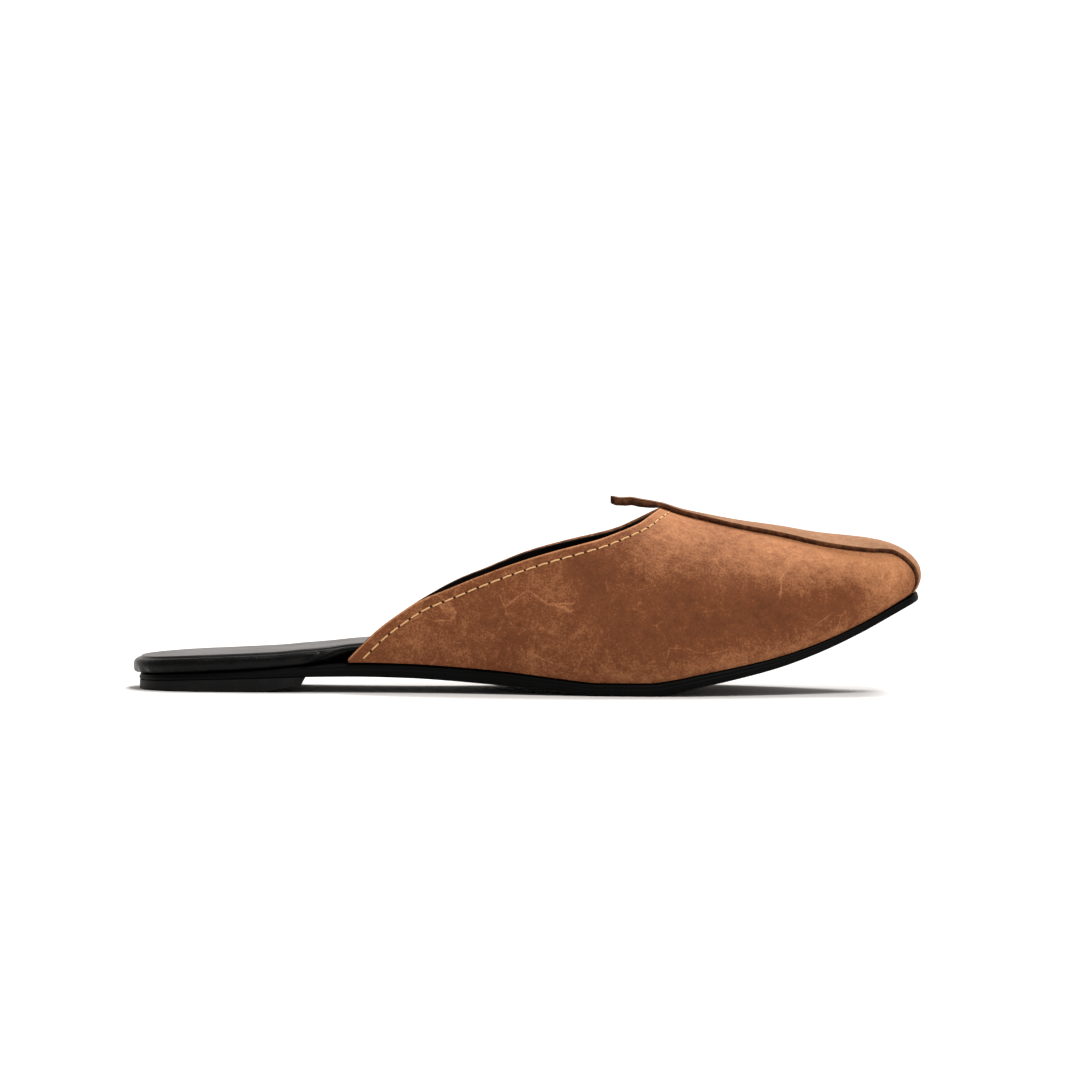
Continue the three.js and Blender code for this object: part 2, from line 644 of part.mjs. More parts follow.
/** A closed flat piece from rings: each ring gives, for a side and an x of the list, a point. */
function slab(xs, rings) {
  const skin = new Skin();
  const loops = rings.map((ring) => [
    ...xs.map((x) => ring("outer", x)),
    ...[...xs].reverse().map((x) => ring("inner", x)),
  ]);
  for (let k = 1; k < loops.length; k++) {
    const low = [...loops[k - 1], loops[k - 1][0]];
    const high = [...loops[k], loops[k][0]];
    skin.band(low, high);
  }
  const n = xs.length;
  const lid = (loop, up) => {
    for (let i = 1; i < n; i++) {
      const a = loop[i - 1];
      const b = loop[i];
      const c = loop[2 * n - 1 - i];
      const d = loop[2 * n - i];
      if (up) skin.quad(a, b, c, d);
      else skin.quad(d, c, b, a);
    }
  };
  lid(loops[0], false);
  lid(loops[loops.length - 1], true);
  return skin.geometry();
}

/** Rings of a piece whose underside, thickness and outset follow x, and whose side follows a profile. */
function profileRings(profile, bottom, thickness, outset) {
  return profile.map((step) => (side, x) => {
    const plan = outlinePoint(side, x, outset(x) - step.inset);
    return new THREE.Vector3(plan.x, plan.y, bottom(x) + thickness(x) * step.height);
  });
}

/** The outsole: one run from the heel over the arch and the flat of the ball up to the toe. */
function outsoleGeometry() {
  const outset = (x) => soleOutset(x) - HEEL_EDGE_SETBACK;
  return slab(
    stations(LENGTH),
    profileRings(OUTSOLE_SIDE, soleBottom, soleThickness, outset),
  );
}

/** The heel lift: flat on the floor at the back and rolled up towards its slanted front face. */
function heelGeometry() {
  const past = (x, start) => Math.max(0, (x - start) / (HEEL_LENGTH - start));
  const ring = (height) => (side, x) => {
    const inset = HEEL_EDGE_SETBACK + OUTSOLE_SIDE[1].inset + HEEL_TAPER * (1 - height);
    const plan = outlinePoint(side, x, soleOutset(x) - inset);
    const slant = HEEL_BREAST_SLANT * (1 - height) * past(x, HEEL_BREAST_START);
    const roll = HEEL_ROLL * past(x, HEEL_FLAT_LENGTH) ** 2 * (2 - past(x, HEEL_FLAT_LENGTH));
    const top = soleBottom(x) - CLEARANCE;
    return new THREE.Vector3(plan.x - slant, plan.y, THREE.MathUtils.lerp(roll, top, height));
  };
  return slab(stations(HEEL_LENGTH), [ring(0), ring(1)]);
}

/** The footbed: a padded seat under the heel that thins to a board and runs inside the upper. Its edge lifts
 * over the arch, and its middle stays on the outsole. */
function footbedGeometry() {
  const middle = (side, x) => {
    const free = FOOTBED_SIDE[0].inset + (ARCH_EDGE * footbedLift(x)) / ARCH_GAP;
    const plan = outlinePoint(side, x, -footbedTuck(x) - free);
    return new THREE.Vector3(plan.x, plan.y, featherHeight(x));
  };
  const edge = profileRings(FOOTBED_SIDE, footbedBottom, footbedThickness, (x) => -footbedTuck(x));
  return slab(stations(LENGTH), [middle, ...edge]);
}

/** The sock: a thin leather sheet over the footbed, inside its rim. */
function sockGeometry() {
  return slab(
    stations(LENGTH),
    profileRings(
      SOCK_SIDE,
      (x) => footbedTop(x) + CLEARANCE,
      () => SOCK_THICKNESS,
      (x) => -footbedTuck(x) - SOCK_MARGIN,
    ),
  );
}

const leather = (color, roughness) =>
  new THREE.MeshStandardMaterial({ color, roughness, metalness: 0 });
const PIECES = [
  { name: "outsole", geometry: outsoleGeometry(), material: leather(0x141414, 0.55) },
  { name: "heel_lift", geometry: heelGeometry(), material: leather(0x181818, 0.7) },
  { name: "footbed", geometry: footbedGeometry(), material: leather(0x0f0f10, 0.3) },
  { name: "sock", geometry: sockGeometry(), material: leather(0x1a191a, 0.35) },
  { name: "upper", geometry: upperGeometry(), material: leather(0x9a5f3a, 0.75) },
  { name: "centre_strip", geometry: stripGeometry(), material: leather(0xa86f48, 0.75) },
];

const mule = new THREE.Group();
for (const { name, geometry, material } of PIECES) {
  const mesh = new THREE.Mesh(geometry, material);
  mesh.name = name;
  mule.add(mesh);
}

// The origin is on the floor under the middle of the shoe.
const box = new THREE.Box3().setFromObject(mule);
const middle = box.getCenter(new THREE.Vector3());
mule.position.set(-middle.x, -middle.y, -box.min.z);
mule.updateMatrixWorld(true);

export default mule;
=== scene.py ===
"""Looks of a flat slip-on mule for the right foot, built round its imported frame.

The shoe's own sizes are in millimetres from the back of the footbed: x runs to the toe, y to the inner
side of the foot and z up from the floor. Meshes are placed in the frame, in metres, when they are made.
"""

import logging
import math
from collections.abc import Callable, Sequence
from dataclasses import dataclass, field
from enum import Enum
from functools import cached_property
from typing import NamedTuple

import bpy
import numpy as np
from mathutils import Matrix, Vector
from mathutils.kdtree import KDTree


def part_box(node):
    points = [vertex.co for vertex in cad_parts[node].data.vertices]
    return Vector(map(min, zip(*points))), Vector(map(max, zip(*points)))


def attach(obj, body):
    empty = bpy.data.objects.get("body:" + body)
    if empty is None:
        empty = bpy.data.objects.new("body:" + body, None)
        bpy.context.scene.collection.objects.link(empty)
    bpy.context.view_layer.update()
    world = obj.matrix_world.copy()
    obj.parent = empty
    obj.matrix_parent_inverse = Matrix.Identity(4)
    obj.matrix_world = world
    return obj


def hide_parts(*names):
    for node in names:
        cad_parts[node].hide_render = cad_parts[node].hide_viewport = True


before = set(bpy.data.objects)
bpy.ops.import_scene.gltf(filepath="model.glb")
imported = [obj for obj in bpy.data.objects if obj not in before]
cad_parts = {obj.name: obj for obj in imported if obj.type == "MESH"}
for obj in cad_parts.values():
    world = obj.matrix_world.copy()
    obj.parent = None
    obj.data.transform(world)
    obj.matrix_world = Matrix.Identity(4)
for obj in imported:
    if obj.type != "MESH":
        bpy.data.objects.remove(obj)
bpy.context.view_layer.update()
BODY = "root"
MILLIMETRE = 0.001
WELD = 0.004
SMALL = 1e-6
TINY = 1e-9
log = logging.getLogger("mule")


class Side(Enum):
    """The two long sides of the shoe, with their sign along y."""

    OUTER = -1
    INNER = 1

    @property
    def column(self) -> str:
        """Name of the side's column in the tables."""
        return self.name.lower()


class OutlineRow(NamedTuple):
    """Half widths and centre of the upper's lower edge, as shares of the ball's width."""

    at: float
    outer: float
    inner: float
    centre: float


class SoleRow(NamedTuple):
    """Run of the sole: shares of heel pitch, toe spring and thickness, and an outset in mm."""

    at: float
    pitch: float
    spring: float
    thick: float
    outset: float


class CrownRow(NamedTuple):
    """Crown of the last: shares of its sizes, the section's exponent and a multiple of the undercut."""

    at: float
    height: float
    ridge: float
    fullness: float
    lean: float


class CollarRow(NamedTuple):
    """Rise of the collar from its rear corner to the throat."""

    at: float
    outer: float
    inner: float


class FootbedRow(NamedTuple):
    """Lift over the arch, thickness and tuck inside the upper, as shares of their sizes."""

    at: float
    lift: float
    thick: float
    tuck: float


class StripRow(NamedTuple):
    """Width of the strip: 0 for its width at the throat, 1 for its width at the toe."""

    at: float
    spread: float


class TabRow(NamedTuple):
    """Rise and thickness of the strip's free end, from the throat to the end."""

    at: float
    rise: float
    thick: float


class SideRow(NamedTuple):
    """Profile of a flat piece's edge, going up: inset in mm at a share of its thickness."""

    at: float
    inset: float


class Wave(NamedTuple):
    """A wave of a worked edge: its height in mm, its turn for each mm in radians, and its phase."""

    height: float
    pace: float
    phase: float

    def at(self, place: np.ndarray) -> np.ndarray:
        """The wave's height at each place."""
        return self.height * np.sin(place * self.pace + self.phase)


OUTLINE = (
    OutlineRow(0.0, 0.34, 0.34, 0.0),
    OutlineRow(0.08, 0.345, 0.345, 0.0),
    OutlineRow(0.15, 0.351, 0.349, 0.0),
    OutlineRow(0.22, 0.346, 0.333, 0.0),
    OutlineRow(0.29, 0.338, 0.3, 0.0),
    OutlineRow(0.35, 0.34, 0.286, 0.0),
    OutlineRow(0.41, 0.359, 0.298, 0.0),
    OutlineRow(0.475, 0.405, 0.338, 0.001),
    OutlineRow(0.54, 0.458, 0.397, 0.003),
    OutlineRow(0.6, 0.497, 0.452, 0.005),
    OutlineRow(0.65, 0.511, 0.486, 0.007),
    OutlineRow(0.7, 0.502, 0.491, 0.009),
    OutlineRow(0.755, 0.463, 0.463, 0.012),
    OutlineRow(0.81, 0.408, 0.412, 0.015),
    OutlineRow(0.87, 0.334, 0.341, 0.018),
    OutlineRow(0.93, 0.259, 0.265, 0.02),
    OutlineRow(1.0, 0.182, 0.182, 0.021),
)
BALL_FLAT = (0.598, 0.66)
SOLE = (
    SoleRow(0.0, 0.575, 0.0, 0.46, 0.0),
    SoleRow(0.07, 0.717, 0.0, 0.5, 0.3),
    SoleRow(0.14, 0.817, 0.0, 0.6, 0.8),
    SoleRow(0.19, 0.904, 0.0, 0.71, 1.2),
    SoleRow(0.225, 0.965, 0.0, 0.83, 1.4),
    SoleRow(0.29, 1.0, 0.0, 0.96, 1.7),
    SoleRow(0.35, 0.943, 0.0, 0.96, 1.9),
    SoleRow(0.42, 0.753, 0.0, 0.96, 2.0),
    SoleRow(0.48, 0.517, 0.0, 0.97, 2.1),
    SoleRow(0.54, 0.225, 0.0, 0.92, 2.2),
    SoleRow(BALL_FLAT[0], 0.0, 0.0, 0.87, 2.2),
    SoleRow(BALL_FLAT[1], 0.0, 0.0, 0.89, 2.2),
    SoleRow(0.69, 0.0, 0.03, 0.91, 2.3),
    SoleRow(0.724, 0.0, 0.0915, 0.87, 2.4),
    SoleRow(0.775, 0.0, 0.182, 0.81, 2.5),
    SoleRow(0.825, 0.0, 0.2875, 0.74, 2.5),
    SoleRow(0.876, 0.0, 0.436, 0.66, 2.6),
    SoleRow(0.927, 0.0, 0.625, 0.61, 2.7),
    SoleRow(0.965, 0.0, 0.794, 0.6, 3.0),
    SoleRow(1.0, 0.0, 0.961, 0.62, 3.4),
)
CROWN = (
    CrownRow(0.25, 1.1, 0.02, 1.0, 1.0),
    CrownRow(0.35, 1.14, 0.02, 1.0, 1.0),
    CrownRow(0.45, 1.145, 0.024, 1.0, 1.0),
    CrownRow(0.54, 1.115, 0.028, 1.0, 1.0),
    CrownRow(0.61, 1.065, 0.03, 1.0, 1.0),
    CrownRow(0.675, 1.0, 0.03, 1.0, 1.0),
    CrownRow(0.7, 0.967, 0.029, 1.02, 1.0),
    CrownRow(0.724, 0.945, 0.028, 1.05, 1.0),
    CrownRow(0.775, 0.906, 0.025, 1.1, 1.0),
    CrownRow(0.827, 0.876, 0.023, 1.12, 1.0),
    CrownRow(0.877, 0.841, 0.021, 1.08, 1.0),
    CrownRow(0.93, 0.819, 0.021, 0.94, 1.15),
    CrownRow(0.965, 0.805, 0.021, 0.78, 1.35),
    CrownRow(0.987, 0.798, 0.021, 0.6, 1.7),
    CrownRow(1.0, 0.79, 0.021, 0.54, 1.2),
)
COLLAR = (
    CollarRow(0.0, 0.0, 0.0),
    CollarRow(0.037, 0.08, 0.085),
    CollarRow(0.1, 0.207, 0.208),
    CollarRow(0.163, 0.306, 0.31),
    CollarRow(0.225, 0.39, 0.389),
    CollarRow(0.322, 0.475, 0.496),
    CollarRow(0.414, 0.555, 0.572),
    CollarRow(0.545, 0.656, 0.68),
    CollarRow(0.637, 0.716, 0.736),
    CollarRow(0.734, 0.77, 0.785),
    CollarRow(0.802, 0.808, 0.817),
    CollarRow(0.86, 0.851, 0.852),
    CollarRow(0.927, 0.908, 0.917),
    CollarRow(0.97, 0.964, 0.965),
    CollarRow(1.0, 1.0, 1.0),
)
FOOTBED = (
    FootbedRow(0.0, 0.0, 1.0, 0.0),
    FootbedRow(0.08, 0.0, 1.0, 0.0),
    FootbedRow(0.14, 0.0, 0.97, 0.0),
    FootbedRow(0.19, 0.0, 0.92, 0.0),
    FootbedRow(0.22, 0.03, 0.9, 0.0),
    FootbedRow(0.246, 0.22, 0.78, 0.35),
    FootbedRow(0.269, 0.64, 0.52, 0.95),
    FootbedRow(0.285, 0.84, 0.44, 1.0),
    FootbedRow(0.315, 1.0, 0.42, 1.0),
    FootbedRow(0.36, 1.0, 0.42, 1.0),
    FootbedRow(0.45, 0.66, 0.45, 1.0),
    FootbedRow(0.55, 0.14, 0.5, 1.0),
    FootbedRow(0.6, 0.0, 0.5, 1.0),
    FootbedRow(1.0, 0.0, 0.5, 1.0),
)
STRIP = (
    StripRow(0.675, 0.0),
    StripRow(0.72, 0.23),
    StripRow(0.78, 0.49),
    StripRow(0.86, 0.73),
    StripRow(0.905, 1.0),
    StripRow(0.917, 0.71),
)
TAB = (
    TabRow(0.0, 0.0, 0.0),
    TabRow(0.2, 0.32, 0.7),
    TabRow(0.45, 0.72, 1.0),
    TabRow(0.7, 0.93, 1.0),
    TabRow(1.0, 1.0, 1.0),
)
OUTSOLE_SIDE = (
    SideRow(0.0, 0.9),
    SideRow(0.05, 0.35),
    SideRow(0.14, 0.1),
    SideRow(0.3, 0.0),
    SideRow(0.52, 0.04),
    SideRow(0.575, 0.18),
    SideRow(0.605, 0.5),
    SideRow(0.635, 0.3),
    SideRow(0.72, 0.26),
    SideRow(0.86, 0.42),
    SideRow(0.96, 0.85),
    SideRow(1.0, 1.4),
)
FOOTBED_SIDE = (
    SideRow(0.0, 1.5),
    SideRow(0.05, 0.8),
    SideRow(0.18, 0.3),
    SideRow(0.45, 0.0),
    SideRow(0.7, 0.14),
    SideRow(0.86, 0.55),
    SideRow(0.96, 1.25),
    SideRow(1.0, 2.1),
)
SOCK_SIDE = (
    SideRow(0.0, 0.0),
    SideRow(0.6, 0.05),
    SideRow(1.0, 0.3),
)
HEEL_SIDE = (
    SideRow(0.0, 0.35),
    SideRow(0.06, 0.08),
    SideRow(0.14, 0.0),
    SideRow(0.34, 0.0),
    SideRow(0.37, 0.12),
    SideRow(0.4, 0.0),
    SideRow(0.9, 0.0),
    SideRow(1.0, 0.1),
)
FRAY = (Wave(0.5, 2.1, 3.0), Wave(0.3, 5.3, 1.0), Wave(0.2, 11.0, 0.0))
TAB_TOP_WAVE = Wave(0.2, 0.9, 3.0)
TAB_UNDER_WAVE = Wave(0.1, 1.7, 2.0)
STRIP_EDGE_WAVE = Wave(0.05, 1.3, 3.0)


def smoothstep(value: np.ndarray, start: float, end: float) -> np.ndarray:
    """A soft step from 0 at start to 1 at end.

    Args:
        value: Where the step is read.
        start: Value at which the step begins.
        end: Value at which the step is full.

    Returns:
        The step at each value.
    """
    share = np.clip((value - start) / (end - start), 0.0, 1.0)
    return share * share * (3.0 - 2.0 * share)


def linear(red: int, green: int, blue: int) -> tuple[float, float, float, float]:
    """A screen colour as Blender's linear colour.

    Args:
        red: Red from 0 to 255.
        green: Green from 0 to 255.
        blue: Blue from 0 to 255.

    Returns:
        Red, green, blue and a full alpha.
    """
    parts = [channel / 255 for channel in (red, green, blue)]
    made = [p / 12.92 if p <= 0.04045 else ((p + 0.055) / 1.055) ** 2.4 for p in parts]
    return made[0], made[1], made[2], 1.0


def linked(name: str, data: bpy.types.ID) -> bpy.types.Object:
    """Makes an object in the scene.

    Args:
        name: Name of the object.
        data: Its mesh, lamp or camera.

    Returns:
        The object.
    """
    made = bpy.data.objects.new(name, data)
    bpy.context.scene.collection.objects.link(made)
    return made


def search_tree(points: np.ndarray) -> KDTree:
    """Puts points into a tree that finds the nearest one.

    Args:
        points: Rows of x, y and z.

    Returns:
        The balanced tree.
    """
    tree = KDTree(len(points))
    for k, point in enumerate(points):
        tree.insert(point, k)
    tree.balance()
    return tree


def distances(line: np.ndarray, points: np.ndarray) -> np.ndarray:
    """Distance from each point of a grid to a line.

    Args:
        line: Points of the line, close together.
        points: Rows and columns of points.

    Returns:
        Distances, in the shape of the grid.
    """
    tree = search_tree(line)
    return np.array([tree.find(p)[2] for p in points.reshape(-1, 3)]).reshape(points.shape[:2])


class Curve:
    """A smooth curve through one column of a table, which never overshoots its rows."""

    def __init__(self, rows: Sequence[NamedTuple], column: str, scale: float = 1.0,
                 reach: float = 1.0) -> None:
        """Fits the curve.

        Args:
            rows: Rows of a table that has an ``at`` column.
            column: Column that the curve follows.
            scale: Size of which the column holds shares.
            reach: Size of which ``at`` holds shares.
        """
        self.at = np.array([row.at for row in rows]) * reach
        self.value = np.array([getattr(row, column) for row in rows]) * scale
        secant = np.diff(self.value) / np.diff(self.at)
        agree = secant[:-1] * secant[1:]
        total = secant[:-1] + secant[1:]
        inner = np.where(agree > 0, 2 * agree / np.where(total == 0, 1.0, total), 0.0)
        self.slope = np.concatenate(([secant[0]], inner, [secant[-1]]))

    def __call__(self, x: np.ndarray) -> np.ndarray:
        """Reads the curve.

        Args:
            x: Places along it.

        Returns:
            Its value at each place.
        """
        x = np.clip(x, self.at[0], self.at[-1])
        i = np.clip(np.searchsorted(self.at, x, side="right") - 1, 0, len(self.at) - 2)
        step = self.at[i + 1] - self.at[i]
        s = (x - self.at[i]) / step
        rising = s * s * (3 - 2 * s)
        bend = step * s * (1 - s) * (self.slope[i] * (1 - s) - self.slope[i + 1] * s)
        return self.value[i] * (1 - rising) + self.value[i + 1] * rising + bend


@dataclass
class Sections:
    """Sections of one side of the last, one entry for each: where it stands and where it meets the crown."""

    foot: np.ndarray
    crown: np.ndarray
    slope: np.ndarray
    floor: np.ndarray
    fullness: np.ndarray
    lean: np.ndarray
    start: np.ndarray
    end: np.ndarray

    def joined(self, other: "Sections") -> "Sections":
        """These sections followed by others."""
        names = self.__dataclass_fields__
        return Sections(**{n: np.concatenate((getattr(self, n), getattr(other, n))) for n in names})


@dataclass
class Last:
    """The form that the mule is built on. Every height is worked out from the sole's run."""

    length: float = 260.0
    ball_width: float = 81.0
    clearance: float = 0.3
    heel_cap: float = 26.0
    toe_cap: float = 11.0
    heel_roundness: float = 2.35
    toe_roundness: float = 4.0
    outsole_thickness: float = 4.7
    heel_pitch: float = 5.3
    toe_spring: float = 32.0
    footbed_thickness: float = 4.8
    arch_gap: float = 3.9
    insole_setback: float = 2.1
    edge_setback: float = 1.9
    throat_height: float = 61.0
    throat_at: float = 175.5
    fan_start: float = 200.0
    fan_reach: float = 0.45
    undercut: float = math.radians(19)
    trace_steps: int = 900
    bend_worth: float = 30.0
    tangent_reach: float = 0.4
    angle_reach: float = 0.02

    @cached_property
    def centre_line(self) -> Curve:
        """Middle of the outline, along y."""
        return Curve(OUTLINE, "centre", self.ball_width, self.length)

    @cached_property
    def widths(self) -> dict[Side, Curve]:
        """Half widths of the outline before its ends are rounded off."""
        return {side: Curve(OUTLINE, side.column, self.ball_width, self.length) for side in Side}

    @cached_property
    def sole_thickness(self) -> Curve:
        """Thickness of the outsole."""
        return Curve(SOLE, "thick", self.outsole_thickness, self.length)

    @cached_property
    def sole_outset(self) -> Curve:
        """How far the outsole stands out from the outline."""
        return Curve(SOLE, "outset", 1.0, self.length)

    @cached_property
    def pitch(self) -> Curve:
        """Rise of the sole towards the heel."""
        return Curve(SOLE, "pitch", self.heel_pitch, self.length)

    @cached_property
    def spring(self) -> Curve:
        """Rise of the sole towards the toe."""
        return Curve(SOLE, "spring", self.toe_spring, self.length)

    @cached_property
    def footbed_lift(self) -> Curve:
        """Rise of the footbed over the arch."""
        return Curve(FOOTBED, "lift", self.arch_gap, self.length)

    @cached_property
    def footbed_height(self) -> Curve:
        """Thickness of the footbed."""
        return Curve(FOOTBED, "thick", self.footbed_thickness, self.length)

    @cached_property
    def footbed_tuck(self) -> Curve:
        """How far the footbed's edge stands inside the outline."""
        return Curve(FOOTBED, "tuck", self.insole_setback, self.length)

    @cached_property
    def crown_height(self) -> Curve:
        """Height of the last's crown."""
        return Curve(CROWN, "height", self.throat_height, self.length)

    @cached_property
    def crown_ridge(self) -> Curve:
        """Place of the crown along y."""
        return Curve(CROWN, "ridge", self.ball_width, self.length)

    @cached_property
    def fullness(self) -> Curve:
        """Exponent of the section that stands at x."""
        return Curve(CROWN, "fullness", 1.0, self.length)

    @cached_property
    def lean(self) -> Curve:
        """How far the wall leans out above the sole, in radians."""
        return Curve(CROWN, "lean", self.undercut, self.length)

    def sole_bottom(self, x: np.ndarray) -> np.ndarray:
        """Height of the outsole's underside."""
        return self.pitch(x) + self.spring(x)

    def feather(self, x: np.ndarray) -> np.ndarray:
        """Height of the upper's lower edge, just above the outsole."""
        return self.sole_bottom(x) + self.sole_thickness(x) + self.clearance

    def footbed_bottom(self, x: np.ndarray) -> np.ndarray:
        """Height of the footbed's underside."""
        return self.feather(x) + self.footbed_lift(x)

    def footbed_top(self, x: np.ndarray) -> np.ndarray:
        """Height of the footbed's upper face."""
        return self.footbed_bottom(x) + self.footbed_height(x)

    def half_width(self, side: Side, x: np.ndarray) -> np.ndarray:
        """Half the outline's width on one side, rounded off at heel and toe.

        Args:
            side: Side of the shoe.
            x: Places along the shoe.

        Returns:
            The half widths.
        """
        from_heel = np.clip(1 - x / self.heel_cap, 0, 1)
        into_toe = np.clip(1 - (self.length - x) / self.toe_cap, 0, 1)
        heel = (1 - from_heel**self.heel_roundness) ** (1 / self.heel_roundness)
        toe = (1 - into_toe**self.toe_roundness) ** (1 / self.toe_roundness)
        return self.widths[side](x) * heel * toe

    def outline(self, side: Side, x: np.ndarray, outset: np.ndarray) -> np.ndarray:
        """Points of the outline, moved outwards in the plan.

        Args:
            side: Side of the shoe.
            x: Places along the shoe.
            outset: How far each point moves outwards.

        Returns:
            Points as rows of x and y.
        """

        def here(at: np.ndarray) -> np.ndarray:
            """Points of the outline itself."""
            return np.stack((at, self.centre_line(at) + side.value * self.half_width(side, at)), -1)

        x = np.asarray(x, float)
        outset = np.broadcast_to(np.asarray(outset, float), x.shape)
        inner_x = np.clip(x, SMALL, self.length - SMALL)
        reach = np.minimum(self.tangent_reach, np.minimum(inner_x, self.length - inner_x) / 2)
        tangent = here(inner_x + reach) - here(inner_x - reach)
        tangent /= np.linalg.norm(tangent, axis=-1, keepdims=True)
        away = np.stack((-tangent[..., 1], tangent[..., 0]), -1) * side.value
        away = np.where((x <= 0)[..., None], np.array([-1.0, 0.0]), away)
        away = np.where((x >= self.length)[..., None], np.array([1.0, 0.0]), away)
        return here(x) + away * outset[..., None]

    @cached_property
    def toe_traces(self) -> dict[Side, dict[str, np.ndarray]]:
        """Follows each side's outline round the toe.

        Returns:
            For each side its points, its length so far and a worth that counts bends too.
        """
        traces = {}
        turn = np.linspace(0, math.pi / 2, self.trace_steps + 1)
        x = np.minimum(self.fan_start + (self.length - self.fan_start) * np.sin(turn), self.length)
        for side in Side:
            points = self.outline(side, x, 0.0)
            steps = np.diff(points, axis=0)
            lengths = np.linalg.norm(steps, axis=1)
            heading = np.arctan2(steps[:, 1], steps[:, 0])
            bends = np.abs(np.diff(heading, prepend=heading[0])) * self.bend_worth
            traces[side] = {
                "points": points,
                "travelled": np.concatenate(([0.0], np.cumsum(lengths))),
                "worth": np.concatenate(([0.0], np.cumsum(lengths + bends))),
            }
        return traces

    def round_toe(self, side: Side, share: np.ndarray) -> tuple[np.ndarray, np.ndarray]:
        """Points at shares of the way round the toe.

        Args:
            side: Side of the shoe.
            share: Shares of the way, counted in worth.

        Returns:
            The points, and their shares of the outline's length.
        """
        trace = self.toe_traces[side]
        wanted = share * trace["worth"][-1]
        x = np.interp(wanted, trace["worth"], trace["points"][:, 0])
        y = np.interp(wanted, trace["worth"], trace["points"][:, 1])
        travelled = np.interp(wanted, trace["worth"], trace["travelled"])
        return np.stack((x, y), -1), travelled / trace["travelled"][-1]

    def sections(self, foot: np.ndarray, crown_x: np.ndarray) -> Sections:
        """Sections that stand on the outline and reach the crown.

        Args:
            foot: Points of the outline.
            crown_x: Where each section meets the crown.

        Returns:
            Whole sections, from the sole to the crown.
        """
        slope = (self.crown_height(crown_x + 1) - self.crown_height(crown_x - 1)) / 2
        crown = np.stack((crown_x, self.crown_ridge(crown_x), self.crown_height(crown_x)), -1)
        at = foot[:, 0]
        lean = self.lean(at)
        return Sections(foot, crown, slope, self.feather(at), self.fullness(at), lean, -lean,
                        np.full(len(at), math.pi / 2))

    def cross_sections(self, side: Side, x: np.ndarray) -> Sections:
        """Sections straight across the shoe at x."""
        return self.sections(self.outline(side, x, 0.0), x)

    def vamp_sections(self, side: Side, straight: int, round_toe: int) -> Sections:
        """Sections from the throat to the toe, which turn to face the front.

        Args:
            side: Side of the shoe.
            straight: Number of sections straight across.
            round_toe: Number of steps round the toe.

        Returns:
            Whole sections from the throat to the tip.
        """
        x = np.linspace(self.throat_at, self.fan_start, straight, endpoint=False)
        across = self.cross_sections(side, x)
        steps = np.linspace(0, 1, round_toe + 1)
        points, _ = self.round_toe(side, steps)
        mean = sum(self.round_toe(each, steps)[1] for each in Side) / 2
        reach = self.fan_reach * sum(self.toe_traces[each]["travelled"][-1] for each in Side) / 2
        return across.joined(self.sections(points, self.fan_start + reach * mean * (2 - mean)))

    def surface(self, cuts: Sections, angle: np.ndarray) -> np.ndarray:
        """Points of the last at angles from minus the lean at the sole to a quarter turn at the crown.

        Args:
            cuts: Sections, one for each row.
            angle: Angles, one row for each section.

        Returns:
            Points, in the shape of the angles.
        """
        lean = cuts.lean[:, None]
        left = (np.maximum(0, np.cos(angle)) / np.cos(lean)) ** cuts.fullness[:, None]
        x = cuts.crown[:, None, 0] + (cuts.foot[:, None, 0] - cuts.crown[:, None, 0]) * left
        y = cuts.crown[:, None, 1] + (cuts.foot[:, None, 1] - cuts.crown[:, None, 1]) * left
        share = (np.sin(angle) + np.sin(lean)) / (1 + np.sin(lean))
        top = cuts.crown[:, None, 2] + cuts.slope[:, None] * (x - cuts.crown[:, None, 0])
        return np.stack((x, y, cuts.floor[:, None] + (top - cuts.floor[:, None]) * share), -1)

    def angle_at(self, cuts: Sections, height: np.ndarray) -> np.ndarray:
        """Angle at which each section reaches a height.

        Args:
            cuts: Sections.
            height: A height for each section.

        Returns:
            The angles.
        """
        share = (height - cuts.floor) / (cuts.crown[:, 2] - cuts.floor)
        sine = share * (1 + np.sin(cuts.lean)) - np.sin(cuts.lean)
        return np.arcsin(np.clip(sine, -1, 1))

    def grid(self, cuts: dict[Side, Sections], share: np.ndarray) -> dict[Side, "Grid"]:
        """Points and outward normals of both sides, with the normals shared where the sides meet.

        Args:
            cuts: Sections of each side.
            share: Shares of the way from each section's start to its end.

        Returns:
            A grid for each side, one row for each section.
        """
        made = {}
        for side, cut in cuts.items():
            angle = cut.start[:, None] + (cut.end - cut.start)[:, None] * share[None, :]
            points = self.surface(cut, angle)
            below = self.surface(cut, angle - self.angle_reach)
            above = self.surface(cut, np.minimum(angle + self.angle_reach, math.pi / 2))
            neighbours = [
                Sections(**{n: getattr(cut, n)[index] for n in cut.__dataclass_fields__})
                for index in (np.maximum(np.arange(len(points)) - 1, 0),
                              np.minimum(np.arange(len(points)) + 1, len(points) - 1))
            ]
            along = self.surface(neighbours[1], angle) - self.surface(neighbours[0], angle)
            normal = np.cross(above - below, along) * side.value
            length = np.linalg.norm(normal, axis=-1, keepdims=True)
            made[side] = Grid(points, normal / np.maximum(length, TINY))
        outer, inner = made[Side.OUTER], made[Side.INNER]
        meet = np.linalg.norm(outer.points - inner.points, axis=-1) < WELD
        mean = outer.normals + inner.normals
        mean /= np.maximum(np.linalg.norm(mean, axis=-1, keepdims=True), TINY)
        for one in (outer, inner):
            one.normals[meet] = mean[meet]
        inner.points[meet] = outer.points[meet]
        return made


@dataclass
class Grid:
    """Points of a surface with their outward normals, one row for each section."""

    points: np.ndarray
    normals: np.ndarray

    def raised(self, height: np.ndarray) -> np.ndarray:
        """The points moved outwards by a height."""
        height = np.broadcast_to(np.asarray(height, float), self.points.shape[:2])
        return self.points + self.normals * height[..., None]


